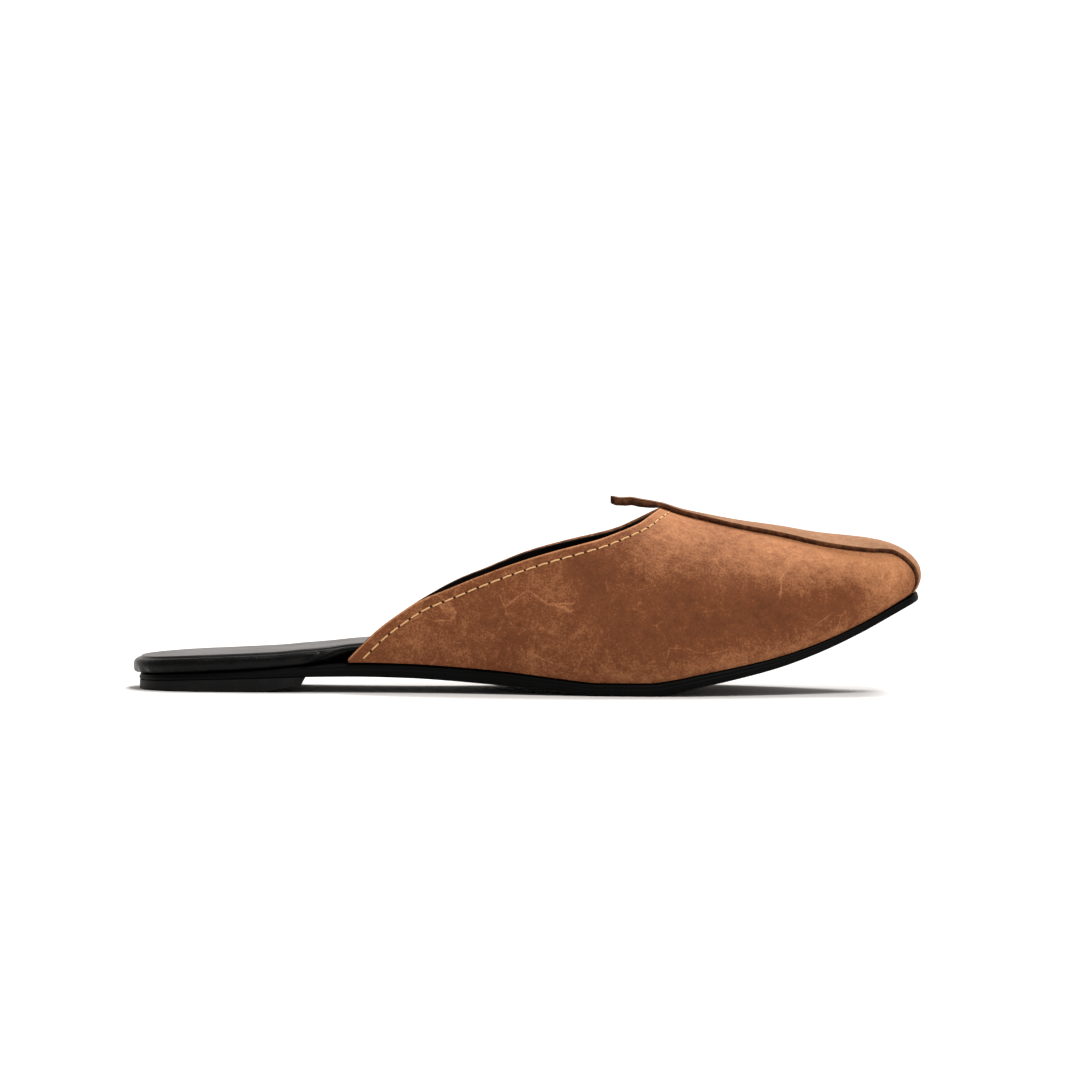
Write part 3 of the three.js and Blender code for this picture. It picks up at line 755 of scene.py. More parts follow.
@dataclass
class Placing:
    """Where the shoe's own millimetres lie in the frame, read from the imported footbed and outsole."""

    last: Last
    steps: int = 2000

    @cached_property
    def shift(self) -> np.ndarray:
        """Finds where the shoe's own origin lies.

        Returns:
            Its place in the frame, in millimetres.
        """
        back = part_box("footbed")[0].x / MILLIMETRE
        x = np.linspace(0, self.last.length, self.steps + 1)
        edge = self.last.outline(Side.OUTER, x, self.last.sole_outset(x) - self.last.edge_setback)
        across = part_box("outsole")[0].y / MILLIMETRE - edge[:, 1].min()
        return np.array([back, across, 0.0])

    def metres(self, points: np.ndarray) -> np.ndarray:
        """Points of the shoe in the frame, in metres."""
        return (points + self.shift) * MILLIMETRE


class MeshMaker:
    """Collects quads in the shoe's millimetres and makes one welded object in the frame."""

    def __init__(self) -> None:
        """Starts empty."""
        self.points: list[np.ndarray] = []
        self.quads: list[np.ndarray] = []
        self.finishes: list[np.ndarray] = []
        self.marks: dict[str, list[np.ndarray]] = {}
        self.count = 0

    def sheet(self, points: np.ndarray, flip: bool, finish: int, **marks: np.ndarray) -> None:
        """Adds a grid of points as quads.

        Args:
            points: Rows and columns of points.
            flip: Turns the quads round.
            finish: Index of the material.
            marks: Named numbers for each point, kept as attributes.
        """
        rows, columns = points.shape[:2]
        index = np.arange(rows * columns).reshape(rows, columns) + self.count
        quads = np.stack((index[1:, :-1], index[1:, 1:], index[:-1, 1:], index[:-1, :-1]), -1)
        quads = quads.reshape(-1, 4)
        if flip:
            quads = quads[:, ::-1]
        for name in sorted(set(marks) | set(self.marks)):
            column = self.marks.setdefault(name, [np.zeros(self.count)] if self.count else [])
            value = marks.get(name, np.zeros((rows, columns)))
            column.append(np.broadcast_to(value, (rows, columns)).reshape(-1))
        self.points.append(points.reshape(-1, 3))
        self.quads.append(quads)
        self.finishes.append(np.full(len(quads), finish))
        self.count += rows * columns

    def object(self, name: str, placing: Placing,
               materials: Sequence[bpy.types.Material]) -> bpy.types.Object:
        """Makes the object, with its doubles merged.

        Args:
            name: Name of the piece.
            placing: Where the shoe lies in the frame.
            materials: Materials by index.

        Returns:
            The linked object, at the origin.
        """
        points = np.concatenate(self.points)
        quads = np.concatenate(self.quads)
        finishes = np.concatenate(self.finishes)
        keys = np.round(points / WELD).astype(np.int64)
        _, first, where = np.unique(keys, axis=0, return_index=True, return_inverse=True)
        faces = where.reshape(-1)[quads]
        kept_faces = []
        kept_finish = []
        for face, finish in zip(faces.tolist(), finishes.tolist()):
            corners = [c for k, c in enumerate(face) if c != face[k - 1]]
            if len(set(corners)) == len(corners) >= 3:
                kept_faces.append(corners)
                kept_finish.append(finish)
        mesh = bpy.data.meshes.new(name)
        mesh.from_pydata(placing.metres(points[first]).tolist(), [], kept_faces)
        for mark, columns in self.marks.items():
            attribute = mesh.attributes.new(mark, "FLOAT", "POINT")
            attribute.data.foreach_set("value", np.concatenate(columns)[first].astype(np.float32))
        for material in materials:
            mesh.materials.append(material)
        mesh.polygons.foreach_set("material_index", np.array(kept_finish, np.int32))
        mesh.polygons.foreach_set("use_smooth", np.ones(len(kept_faces), bool))
        mesh.update()
        return linked(name, mesh)


def finished(piece: bpy.types.Object, slot: str, *nodes: str) -> bpy.types.Object:
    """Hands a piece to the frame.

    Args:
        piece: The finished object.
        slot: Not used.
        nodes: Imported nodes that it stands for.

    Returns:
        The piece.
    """
    if nodes:
        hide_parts(*nodes)
    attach(piece, BODY)
    log.info("%s: %d faces", piece.name, len(piece.data.polygons))
    return piece


class Nodes:
    """A short way to add and join nodes of one tree. The numbers are a colour Mix node's sockets."""

    MIX_SHARE = 0
    MIX_FIRST = 6
    MIX_SECOND = 7
    MIX_RESULT = 2

    def __init__(self, tree: bpy.types.NodeTree) -> None:
        """Works on a tree."""
        self.tree = tree

    def add(self, kind: str, **values: object) -> bpy.types.Node:
        """Adds a node.

        Args:
            kind: Node type.
            values: Properties of the node, or inputs by name with _ for a space.

        Returns:
            The node.
        """
        node = self.tree.nodes.new(kind)
        for name, value in values.items():
            if hasattr(node, name):
                setattr(node, name, value)
            else:
                self.put(node, name.replace("_", " "), value)
        return node

    def put(self, node: bpy.types.Node, name: str | int, value: object) -> None:
        """Sets an input, or joins it to an output.

        Args:
            node: Node with the input.
            name: Name or index of the input.
            value: A value or an output socket.
        """
        if isinstance(value, bpy.types.NodeSocket):
            self.tree.links.new(value, node.inputs[name])
        else:
            node.inputs[name].default_value = value

    def maths(self, operation: str, first: object, second: object = 0.0,
              clamp: bool = False) -> bpy.types.NodeSocket:
        """A Math node's result.

        Args:
            operation: Name of the operation.
            first: First value or socket.
            second: Second value or socket.
            clamp: Keeps the result from 0 to 1.

        Returns:
            The result's socket.
        """
        node = self.add("ShaderNodeMath", operation=operation, use_clamp=clamp)
        self.put(node, 0, first)
        self.put(node, 1, second)
        return node.outputs[0]

    def blend(self, share: object, first: object, second: object) -> bpy.types.NodeSocket:
        """Mixes two colours.

        Args:
            share: Share of the second colour.
            first: First colour or socket.
            second: Second colour or socket.

        Returns:
            The mixed colour's socket.
        """
        node = self.add("ShaderNodeMix", data_type="RGBA")
        self.put(node, self.MIX_SHARE, share)
        self.put(node, self.MIX_FIRST, first)
        self.put(node, self.MIX_SECOND, second)
        return node.outputs[self.MIX_RESULT]

    def ramp(self, value: bpy.types.NodeSocket, low: float, high: float) -> bpy.types.NodeSocket:
        """A soft clamped run.

        Args:
            value: What it follows.
            low: Value at which it is 0.
            high: Value at which it is 1.

        Returns:
            The run's socket.
        """
        node = self.add("ShaderNodeMapRange", interpolation_type="SMOOTHSTEP")
        self.put(node, "Value", value)
        self.put(node, "From Min", low)
        self.put(node, "From Max", high)
        return node.outputs["Result"]

    def bump(self, shader: bpy.types.Node, distance: float, strength: float, height: object) -> None:
        """Gives a shader a relief.

        Args:
            shader: The material's shader.
            distance: Depth of the relief, in metres.
            strength: Its strength.
            height: The relief itself.
        """
        node = self.add("ShaderNodeBump", Distance=distance, Strength=strength, Height=height)
        self.put(shader, "Normal", node.outputs["Normal"])

    def surface(self, shader: bpy.types.Node, roughness: object, specular: float) -> None:
        """Sets a shader's roughness and its share of mirrored light."""
        self.put(shader, "Roughness", roughness)
        self.put(shader, "Specular IOR Level", specular)


def started(name: str) -> tuple[bpy.types.Material, Nodes, bpy.types.Node]:
    """Starts a material.

    Args:
        name: Name of the material.

    Returns:
        The material, its nodes and its shader.
    """
    made = bpy.data.materials.new(name)
    made.use_nodes = True
    return made, Nodes(made.node_tree), made.node_tree.nodes["Principled BSDF"]


def shader_group(name: str, inputs: dict[str, float], outputs: Sequence[str],
                 fill: Callable[[Nodes, bpy.types.Node, bpy.types.Node], None]) -> bpy.types.NodeTree:
    """Builds a shader node group whose sockets are all numbers.

    Args:
        name: Name of the group.
        inputs: Named inputs with their values.
        outputs: Named outputs.
        fill: Adds the nodes between the group's input and output nodes.

    Returns:
        The group.
    """
    group = bpy.data.node_groups.new(name, "ShaderNodeTree")
    for label, value in inputs.items():
        socket = group.interface.new_socket(label, in_out="INPUT", socket_type="NodeSocketFloat")
        socket.default_value = value
    for label in outputs:
        group.interface.new_socket(label, in_out="OUTPUT", socket_type="NodeSocketFloat")
    nodes = Nodes(group)
    fill(nodes, nodes.add("NodeGroupInput"), nodes.add("NodeGroupOutput"))
    return group


@dataclass
class Effects:
    """Effects that several materials share. Scales are in features to the metre, and pairs are ramps."""

    vein_line: tuple[float, float] = (0.003, 0.018)
    vein_breaks: tuple[float, float] = (0.47, 0.62)
    spot_size: tuple[float, float] = (0.03, 0.1)
    spot_places: tuple[float, float] = (0.45, 0.6)
    smear_places: tuple[float, float] = (0.42, 0.72)
    speck_size: tuple[float, float] = (0.04, 0.09)

    @cached_property
    def hide(self) -> bpy.types.NodeTree:
        """Clouds, nap, pores, pale veins and a few dark spots of a waxed hide.

        Returns:
            The group.
        """

        def fill(nodes: Nodes, into: bpy.types.Node, out: bpy.types.Node) -> None:
            """Adds the hide's nodes.

            Args:
                nodes: The group's nodes.
                into: Its input node.
                out: Its output node.
            """
            place = nodes.add("ShaderNodeTexCoord").outputs["Object"]
            clouds = nodes.add("ShaderNodeTexNoise", Vector=place, Scale=into.outputs["Cloud Scale"],
                               Detail=4.0, Roughness=0.5, Distortion=0.4)
            nap = nodes.add("ShaderNodeTexNoise", Vector=place, Scale=into.outputs["Nap Scale"],
                            Detail=4.0, Roughness=0.7)
            pores = nodes.add("ShaderNodeTexNoise", Vector=place, Scale=into.outputs["Pore Scale"],
                              Detail=2.0, Roughness=0.8)
            bend = nodes.add("ShaderNodeTexNoise", Vector=place, Scale=into.outputs["Vein Scale"],
                             Detail=3.0, Roughness=0.6)
            pull = nodes.add("ShaderNodeVectorMath", operation="SCALE")
            nodes.put(pull, 0, bend.outputs["Color"])
            nodes.put(pull, "Scale", into.outputs["Vein Bend"])
            bent = nodes.add("ShaderNodeVectorMath", operation="ADD")
            nodes.put(bent, 0, place)
            nodes.put(bent, 1, pull.outputs[0])
            cracks = nodes.add("ShaderNodeTexVoronoi", Vector=bent.outputs[0],
                               Scale=into.outputs["Vein Scale"], feature="DISTANCE_TO_EDGE", Randomness=1.0)
            vein = nodes.maths("SUBTRACT", 1.0, nodes.ramp(cracks.outputs["Distance"], *self.vein_line))
            part = nodes.add("ShaderNodeTexNoise", Vector=place, Scale=into.outputs["Vein Scale"],
                             Detail=3.0, Roughness=0.5, Distortion=1.0)
            broken = nodes.ramp(part.outputs["Fac"], *self.vein_breaks)
            dots = nodes.add("ShaderNodeTexVoronoi", Vector=place, Scale=into.outputs["Spot Scale"])
            spot = nodes.maths("SUBTRACT", 1.0, nodes.ramp(dots.outputs["Distance"], *self.spot_size))
            few = nodes.ramp(pores.outputs["Fac"], *self.spot_places)
            nodes.put(out, "Cloud", clouds.outputs["Fac"])
            nodes.put(out, "Nap", nap.outputs["Fac"])
            nodes.put(out, "Pore", pores.outputs["Fac"])
            nodes.put(out, "Vein", nodes.maths("MULTIPLY", vein, broken))
            nodes.put(out, "Spot", nodes.maths("MULTIPLY", spot, few))

        scales = {"Cloud Scale": 42.0, "Nap Scale": 330.0, "Pore Scale": 1500.0, "Vein Scale": 48.0,
                  "Vein Bend": 0.012, "Spot Scale": 75.0}
        return shader_group("hide", scales, ("Cloud", "Nap", "Pore", "Vein", "Spot"), fill)

    @cached_property
    def dust(self) -> bpy.types.NodeTree:
        """Fine light specks and soft smears on a dark finish.

        Returns:
            The group.
        """

        def fill(nodes: Nodes, into: bpy.types.Node, out: bpy.types.Node) -> None:
            """Adds the dust's nodes.

            Args:
                nodes: The group's nodes.
                into: Its input node.
                out: Its output node.
            """
            place = nodes.add("ShaderNodeTexCoord").outputs["Object"]
            smear = nodes.add("ShaderNodeTexNoise", Vector=place, Scale=into.outputs["Smear Scale"],
                              Detail=6.0, Roughness=0.65)
            speck = nodes.add("ShaderNodeTexVoronoi", Vector=place, Scale=into.outputs["Speck Scale"])
            nodes.put(out, "Smear", nodes.ramp(smear.outputs["Fac"], *self.smear_places))
            bare = nodes.ramp(speck.outputs["Distance"], *self.speck_size)
            nodes.put(out, "Speck", nodes.maths("SUBTRACT", 1.0, bare))
            nodes.put(out, "Fine", smear.outputs["Fac"])

        scales = {"Smear Scale": 60.0, "Speck Scale": 180.0}
        return shader_group("dust", scales, ("Smear", "Speck", "Fine"), fill)


@dataclass(frozen=True)
class WaxedHide:
    """Waxed leather with a soft nap. Its tone runs from dark at -1 over middle at 0 to light at 1."""

    name: str
    dark: tuple[int, int, int]
    middle: tuple[int, int, int]
    light: tuple[int, int, int]
    cloud: float = 0.95
    nap: float = 0.95
    pore: float = 1.2
    vein: float = 0.3
    spot: float = 0.6
    # Strength of the painted highlight that the mesh's rim lays along cut edges.
    rim: float = 0.9
    roughness: float = 0.72
    depth: float = 0.00009
    nap_height: float = 1.6
    nap_roughness: float = 0.14
    bump: float = 0.8
    specular: float = 0.08

    def material(self, effects: Effects) -> bpy.types.Material:
        """Builds the material. The mesh's lift moves its tone, painted light and shade among it, and the
        mesh's rim paints a highlight along the cut edges.

        Args:
            effects: Shared node groups.

        Returns:
            The material.
        """
        made, nodes, shader = started(self.name)
        hide = nodes.add("ShaderNodeGroup", node_tree=effects.hide).outputs
        tone = nodes.add("ShaderNodeAttribute", attribute_name="lift").outputs["Fac"]
        edge = nodes.add("ShaderNodeAttribute", attribute_name="rim").outputs["Fac"]
        for label, share in (("Cloud", self.cloud), ("Nap", self.nap), ("Pore", self.pore)):
            around = nodes.maths("SUBTRACT", hide[label], 0.5)
            tone = nodes.maths("ADD", tone, nodes.maths("MULTIPLY", around, share))
        tone = nodes.maths("ADD", tone, nodes.maths("MULTIPLY", hide["Vein"], self.vein))
        tone = nodes.maths("SUBTRACT", tone, nodes.maths("MULTIPLY", hide["Spot"], self.spot))
        tone = nodes.maths("ADD", tone, nodes.maths("MULTIPLY", edge, self.rim))
        up_to_middle = nodes.maths("ADD", tone, 1.0, clamp=True)
        past_middle = nodes.maths("ADD", tone, 0.0, clamp=True)
        colour = nodes.blend(up_to_middle, linear(*self.dark), linear(*self.middle))
        nodes.put(shader, "Base Color", nodes.blend(past_middle, colour, linear(*self.light)))
        rough = nodes.maths("ADD", self.roughness, nodes.maths("MULTIPLY", hide["Nap"], self.nap_roughness))
        height = nodes.maths("ADD", hide["Pore"], nodes.maths("MULTIPLY", hide["Nap"], self.nap_height))
        nodes.bump(shader, self.depth, self.bump, height)
        nodes.surface(shader, rough, self.specular)
        return made


@dataclass(frozen=True)
class RawEdge:
    """The cut edge of a hide, dark and fibrous, with pale flecks and a foot darkened by painted shade where
    the mesh's lift says so.
    """

    name: str
    dark: tuple[int, int, int]
    light: tuple[int, int, int]
    fleck: tuple[int, int, int]
    fibre_scale: float = 1500.0
    tuft_scale: float = 375.0
    tuft_tones: tuple[float, float] = (0.3, 0.7)
    fleck_fibres: tuple[float, float] = (0.62, 0.72)
    fleck_tufts: tuple[float, float] = (0.5, 0.62)
    depth: float = 0.00035
    bump: float = 0.9
    roughness: float = 0.9
    specular: float = 0.1

    def material(self) -> bpy.types.Material:
        """Builds the material. The mesh's lift runs the edge from painted shade at its foot to lighter at its
        rim.

        Returns:
            The material.
        """
        made, nodes, shader = started(self.name)
        place = nodes.add("ShaderNodeTexCoord").outputs["Object"]
        lift = nodes.add("ShaderNodeAttribute", attribute_name="lift").outputs["Fac"]
        coarse = nodes.add("ShaderNodeTexNoise", Vector=place, Scale=self.tuft_scale, Detail=4.0)
        fine = nodes.add("ShaderNodeTexNoise", Vector=place, Scale=self.fibre_scale, Detail=4.0,
                         Roughness=0.7)
        tufts = nodes.ramp(coarse.outputs["Fac"], *self.tuft_tones)
        tone = nodes.maths("MULTIPLY", tufts, fine.outputs["Fac"])
        tone = nodes.maths("ADD", tone, lift, clamp=True)
        colour = nodes.blend(tone, linear(*self.dark), linear(*self.light))
        flecks = nodes.ramp(fine.outputs["Fac"], *self.fleck_fibres)
        flecks = nodes.maths("MULTIPLY", flecks, nodes.ramp(coarse.outputs["Fac"], *self.fleck_tufts))
        nodes.put(shader, "Base Color", nodes.blend(flecks, colour, linear(*self.fleck)))
        nodes.bump(shader, self.depth, self.bump, fine.outputs["Fac"])
        nodes.surface(shader, self.roughness, self.specular)
        return made


@dataclass(frozen=True)
class DarkFinish:
    """Black leather or rubber with dust, smears and a fine grain."""

    name: str
    base: tuple[int, int, int]
    dusty: tuple[int, int, int]
    roughness: float
    dust: float = 0.3
    specks: float = 0.1
    grain_scale: float = 1400.0
    grain_depth: float = 0.00005
    wave: float = 3.0
    bump: float = 0.7
    smear_roughness: float = 0.12
    specular: float = 0.12

    def material(self, effects: Effects) -> bpy.types.Material:
        """Builds the material.

        Args:
            effects: Shared node groups.

        Returns:
            The material.
        """
        made, nodes, shader = started(self.name)
        place = nodes.add("ShaderNodeTexCoord").outputs["Object"]
        marks = nodes.add("ShaderNodeGroup", node_tree=effects.dust).outputs
        share = nodes.maths("MULTIPLY", marks["Smear"], self.dust)
        share = nodes.maths("ADD", share, nodes.maths("MULTIPLY", marks["Speck"], self.specks), clamp=True)
        nodes.put(shader, "Base Color", nodes.blend(share, linear(*self.base), linear(*self.dusty)))
        smeared = nodes.maths("MULTIPLY", marks["Smear"], self.smear_roughness)
        grain = nodes.add("ShaderNodeTexVoronoi", Vector=place, Scale=self.grain_scale)
        slow = nodes.maths("MULTIPLY", marks["Fine"], self.wave)
        height = nodes.maths("ADD", grain.outputs["Distance"], slow)
        nodes.bump(shader, self.grain_depth, self.bump, height)
        nodes.surface(shader, nodes.maths("ADD", self.roughness, smeared), self.specular)
        return made


@dataclass(frozen=True)
class PlainFinish:
    """A small part's finish: one colour with a fine variation."""

    name: str
    base: tuple[int, int, int]
    other: tuple[int, int, int]
    roughness: float = 0.8
    scale: float = 2500.0
    specular: float = 0.2

    def material(self) -> bpy.types.Material:
        """Builds the material.

        Returns:
            The material.
        """
        made, nodes, shader = started(self.name)
        place = nodes.add("ShaderNodeTexCoord").outputs["Object"]
        noise = nodes.add("ShaderNodeTexNoise", Vector=place, Scale=self.scale, Detail=2.0)
        colour = nodes.blend(noise.outputs["Fac"], linear(*self.base), linear(*self.other))
        nodes.put(shader, "Base Color", colour)
        nodes.surface(shader, self.roughness, self.specular)
        return made


@dataclass
class Finishes:
    """Every material of the shoe."""

    effects: Effects = field(default_factory=Effects)

    @cached_property
    def upper(self) -> bpy.types.Material:
        """Cognac waxed hide of the upper."""
        return WaxedHide("upper_hide", (62, 34, 20), (117, 68, 41), (202, 140, 96)).material(self.effects)

    @cached_property
    def strip(self) -> bpy.types.Material:
        """The strip's hide, a little lighter and calmer."""
        return WaxedHide("strip_hide", (92, 57, 38), (134, 92, 64), (188, 143, 109), cloud=0.8,
                         vein=0.1, spot=0.2, rim=0.8).material(self.effects)

    @cached_property
    def raw_edge(self) -> bpy.types.Material:
        """Dark cut edge of the strip."""
        return RawEdge("strip_raw_edge", (58, 32, 20), (132, 86, 56), (184, 132, 94)).material()

    @cached_property
    def collar_edge(self) -> bpy.types.Material:
        """Cut edge of the collar, lighter than the strip's."""
        return RawEdge("collar_raw_edge", (104, 62, 40), (190, 136, 98), (220, 170, 130),
                       depth=0.0002).material()

    @cached_property
    def lining(self) -> bpy.types.Material:
        """Black lining."""
        return DarkFinish("lining", (15, 12, 10), (30, 25, 22), 0.7, specks=0.0,
                          specular=0.08).material(self.effects)

    @cached_property
    def footbed(self) -> bpy.types.Material:
        """Glossy black leather round the footbed."""
        return DarkFinish("footbed_leather", (6, 6, 6), (40, 38, 38), 0.28, dust=0.16, grain_depth=0.0001,
                          wave=7.0, specular=0.09).material(self.effects)

    @cached_property
    def sock(self) -> bpy.types.Material:
        """Satin black leather of the sock."""
        return DarkFinish("sock_leather", (24, 22, 22), (66, 60, 58), 0.36, dust=0.35,
                          specular=0.4).material(self.effects)

    @cached_property
    def outsole(self) -> bpy.types.Material:
        """Black rubber of the outsole."""
        return DarkFinish("outsole_rubber", (5, 5, 5), (24, 23, 22), 0.55, dust=0.2,
                          specular=0.06).material(self.effects)

    @cached_property
    def heel(self) -> bpy.types.Material:
        """Matte black rubber of the heel."""
        return DarkFinish("heel_rubber", (14, 14, 14), (48, 46, 45), 0.6, dust=0.3,
                          specks=0.3).material(self.effects)

    @cached_property
    def thread(self) -> bpy.types.Material:
        """Beige thread."""
        return PlainFinish("thread", (206, 158, 106), (236, 192, 138)).material()

    @cached_property
    def pinhole_shade(self) -> bpy.types.Material:
        """Painted shade of the holes between the stitches."""
        return PlainFinish("pinhole_shade", (20, 11, 7), (40, 22, 14)).material()


@dataclass(frozen=True)
class Crease:
    """A soft trough or ridge of the upper, seen from its side.

    The place is the crease's middle, as x and a share of the wall's height. The slant is in degrees, up
    towards the toe, and a depth below 0 is a ridge.
    """

    side: Side
    x: float
    rise: float
    length: float
    width: float
    slant: float
    depth: float


CREASES = (
    Crease(Side.OUTER, 112.0, 0.42, 34.0, 9.0, 24.0, 0.25),
    Crease(Side.OUTER, 150.0, 0.55, 30.0, 8.0, -28.0, 0.22),
    Crease(Side.OUTER, 163.0, 0.36, 26.0, 6.0, 32.0, 0.3),
    Crease(Side.OUTER, 176.0, 0.6, 28.0, 7.0, 40.0, 0.25),
    Crease(Side.OUTER, 191.0, 0.4, 36.0, 7.0, -24.0, 0.34),
    Crease(Side.OUTER, 197.0, 0.52, 34.0, 9.0, -30.0, -0.3),
    Crease(Side.OUTER, 214.0, 0.34, 30.0, 7.0, 12.0, 0.3),
    Crease(Side.OUTER, 233.0, 0.42, 22.0, 8.0, 18.0, 0.38),
    Crease(Side.OUTER, 236.0, 0.24, 24.0, 5.0, 26.0, -0.25),
    Crease(Side.INNER, 118.0, 0.45, 32.0, 9.0, 20.0, 0.25),
    Crease(Side.INNER, 155.0, 0.4, 28.0, 8.0, -22.0, 0.3),
    Crease(Side.INNER, 172.0, 0.58, 26.0, 6.0, 34.0, 0.28),
    Crease(Side.INNER, 188.0, 0.36, 34.0, 7.0, -30.0, 0.34),
    Crease(Side.INNER, 203.0, 0.5, 30.0, 9.0, -20.0, -0.28),
    Crease(Side.INNER, 228.0, 0.38, 24.0, 7.0, 16.0, 0.34),
)


@dataclass(frozen=True)
class Patch:
    """A soft patch that paints the hide lighter or darker: its middle, as x and a share of the height, and
    its half sizes.
    """

    x: float
    rise: float
    length: float
    height: float
    lift: float


# The light patches high on the crown and at the toe are painted light from above and from the toe's side; the
# light band along the foot and the darker patches at mid-height are changes of tone.
LIGHT_AND_TONE_PATCHES = (
    Patch(180.0, 0.95, 16.0, 0.22, 0.5),
    Patch(215.0, 0.9, 26.0, 0.22, 0.55),
    Patch(245.0, 0.75, 18.0, 0.3, 0.5),
    Patch(200.0, 0.02, 60.0, 0.1, 0.25),
    Patch(202.0, 0.32, 26.0, 0.24, -0.22),
    Patch(172.0, 0.42, 24.0, 0.28, -0.14),
    Patch(224.0, 0.34, 22.0, 0.18, -0.1),
    Patch(254.0, 0.45, 8.0, 0.4, 0.55),
)


@dataclass
class Upper:
    """The upper: a hide and its black lining, open at the collar and behind, with a stitched edge."""

    last: Last
    placing: Placing
    wall: float = 1.8
    lining: float = 0.6
    rear_corner: dict[Side, float] = field(default_factory=lambda: {Side.OUTER: 72.2, Side.INNER: 75.5})
    corner_height: float = 1.0
    wing_columns: int = 130
    wing_crowding: float = 1.5
    vamp_columns: int = 26
    toe_columns: int = 96
    rows: int = 52
    edge_rows: int = 5
    edge_round: float = 0.16
    seam_inset: float = 3.4
    seam_start: float = 1.2
    seam_depth: float = 0.14
    seam_width: float = 0.75
    crease_wander: float = 0.9
    crease_pace: float = 0.35
    calm_foot: float = 4.0
    calm_crown: float = 6.0
    calm_collar: tuple[float, float] = (1.0, 8.0)
    # Reach from the collar's edge of the painted highlight along it, in mm.
    rim_highlight_reach: tuple[float, float] = (0.1, 0.7)
    layer_gap: float = 0.02

    def collar_height(self, side: Side, share: np.ndarray) -> np.ndarray:
        """Height of the collar at shares of the way from the rear corner to the throat."""
        rear = self.last.feather(np.array([self.rear_corner[side]]))[0] + self.corner_height
        return rear + (self.last.throat_height - rear) * Curve(COLLAR, side.column)(share)

    def sections(self, side: Side) -> Sections:
        """Sections of one side from the rear corner to the toe.

        Args:
            side: Side of the shoe.

        Returns:
            Sections that end at the collar, or past the throat at the crown.
        """
        share = 1 - (1 - np.arange(self.wing_columns) / self.wing_columns) ** self.wing_crowding
        rear = self.rear_corner[side]
        wing = self.last.cross_sections(side, rear + (self.last.throat_at - rear) * share)
        wing.end = self.last.angle_at(wing, self.collar_height(side, share))
        return wing.joined(self.last.vamp_sections(side, self.vamp_columns, self.toe_columns))

    def collar_line(self, grid: Grid) -> np.ndarray:
        """Points of one side's collar, from the rear corner to the throat."""
        return grid.points[: self.wing_columns + 1, -1]

    def seam_line(self, grid: Grid) -> tuple[np.ndarray, np.ndarray]:
        """The line of the stitches on one side.

        Args:
            grid: The side's grid.

        Returns:
            Points of the line and the surface's normals there.
        """
        line = self.collar_line(grid)
        normal = grid.normals[: len(line), -1]
        along = np.gradient(line, axis=0)
        along /= np.linalg.norm(along, axis=1, keepdims=True)
        inward = np.cross(along, normal)
        inward *= np.sign(np.sum(inward * (grid.points[: len(line), -3] - line), axis=1, keepdims=True))
        moved = line + inward * self.seam_inset
        flat = grid.points.reshape(-1, 3)
        tree = search_tree(flat)
        nearest = np.array([tree.find(point)[1] for point in moved])
        normals = grid.normals.reshape(-1, 3)[nearest]
        offset = np.sum((moved - flat[nearest]) * normals, axis=1, keepdims=True)
        clear = moved[:, 2] > self.last.feather(moved[:, 0]) + self.seam_start
        return (moved - normals * offset)[clear], normals[clear]

    def creases(self, side: Side, grid: Grid) -> np.ndarray:
        """Works out the soft creases and ridges of one side.

        Args:
            side: Side of the shoe.
            grid: The side's grid.

        Returns:
            Their height over the grid, in millimetres.
        """
        total = np.zeros(grid.points.shape[:2])
        x = grid.points[..., 0]
        z = grid.points[..., 2]
        base = self.last.feather(x)
        top = self.last.crown_height(np.minimum(x, self.last.length))
        for crease in CREASES:
            if crease.side is not side:
                continue
            spot = np.array([crease.x])
            foot = self.last.feather(spot)
            middle = foot + crease.rise * (self.last.crown_height(spot) - foot)
            turn = math.radians(crease.slant)
            along = (x - crease.x) * math.cos(turn) + (z - middle) * math.sin(turn)
            across = -(x - crease.x) * math.sin(turn) + (z - middle) * math.cos(turn)
            across = across + self.crease_wander * np.sin(along * self.crease_pace + crease.x)
            shape = np.exp(-((along / (crease.length / 2)) ** 4) - (across / (crease.width / 2)) ** 2)
            total -= crease.depth * shape
        calm = smoothstep(z, base, base + self.calm_foot) * (1 - smoothstep(z, top - self.calm_crown, top))
        return total * calm

    def tone(self, grid: Grid) -> np.ndarray:
        """Works out where the hide is painted lighter or darker, from soft patches: painted light high on the
        crown and at the toe, and changes of tone elsewhere.

        Args:
            grid: A side's grid.

        Returns:
            The change of tone at each point.
        """
        x = grid.points[..., 0]
        base = self.last.feather(x)
        rise = (grid.points[..., 2] - base) / (self.last.crown_height(x) - base)
        total = np.zeros(x.shape)
        for patch in LIGHT_AND_TONE_PATCHES:
            away = ((x - patch.x) / patch.length) ** 2 + ((rise - patch.rise) / patch.height) ** 2
            total += patch.lift * np.exp(-away)
        return total

    def build(self, finishes: Finishes) -> list[bpy.types.Object]:
        """Makes the hide, the lining and the stitches.

        Args:
            finishes: The shoe's materials.

        Returns:
            The finished pieces.
        """
        cuts = {side: self.sections(side) for side in Side}
        grids = self.last.grid(cuts, np.linspace(0, 1, self.rows + 1))
        seams = {side: self.seam_line(grids[side]) for side in Side}
        hide = MeshMaker()
        lining = MeshMaker()
        for side in Side:
            grid = grids[side]
            to_seam = distances(seams[side][0], grid.points)
            to_collar = distances(self.collar_line(grid), grid.points)
            relief = self.creases(side, grid)
            relief = relief * smoothstep(to_collar, *self.calm_collar)
            relief -= self.seam_depth * np.exp(-((to_seam / self.seam_width) ** 2))
            # Painted light high on the crown and at the toe, with other soft changes of tone.
            lift = self.tone(grid)
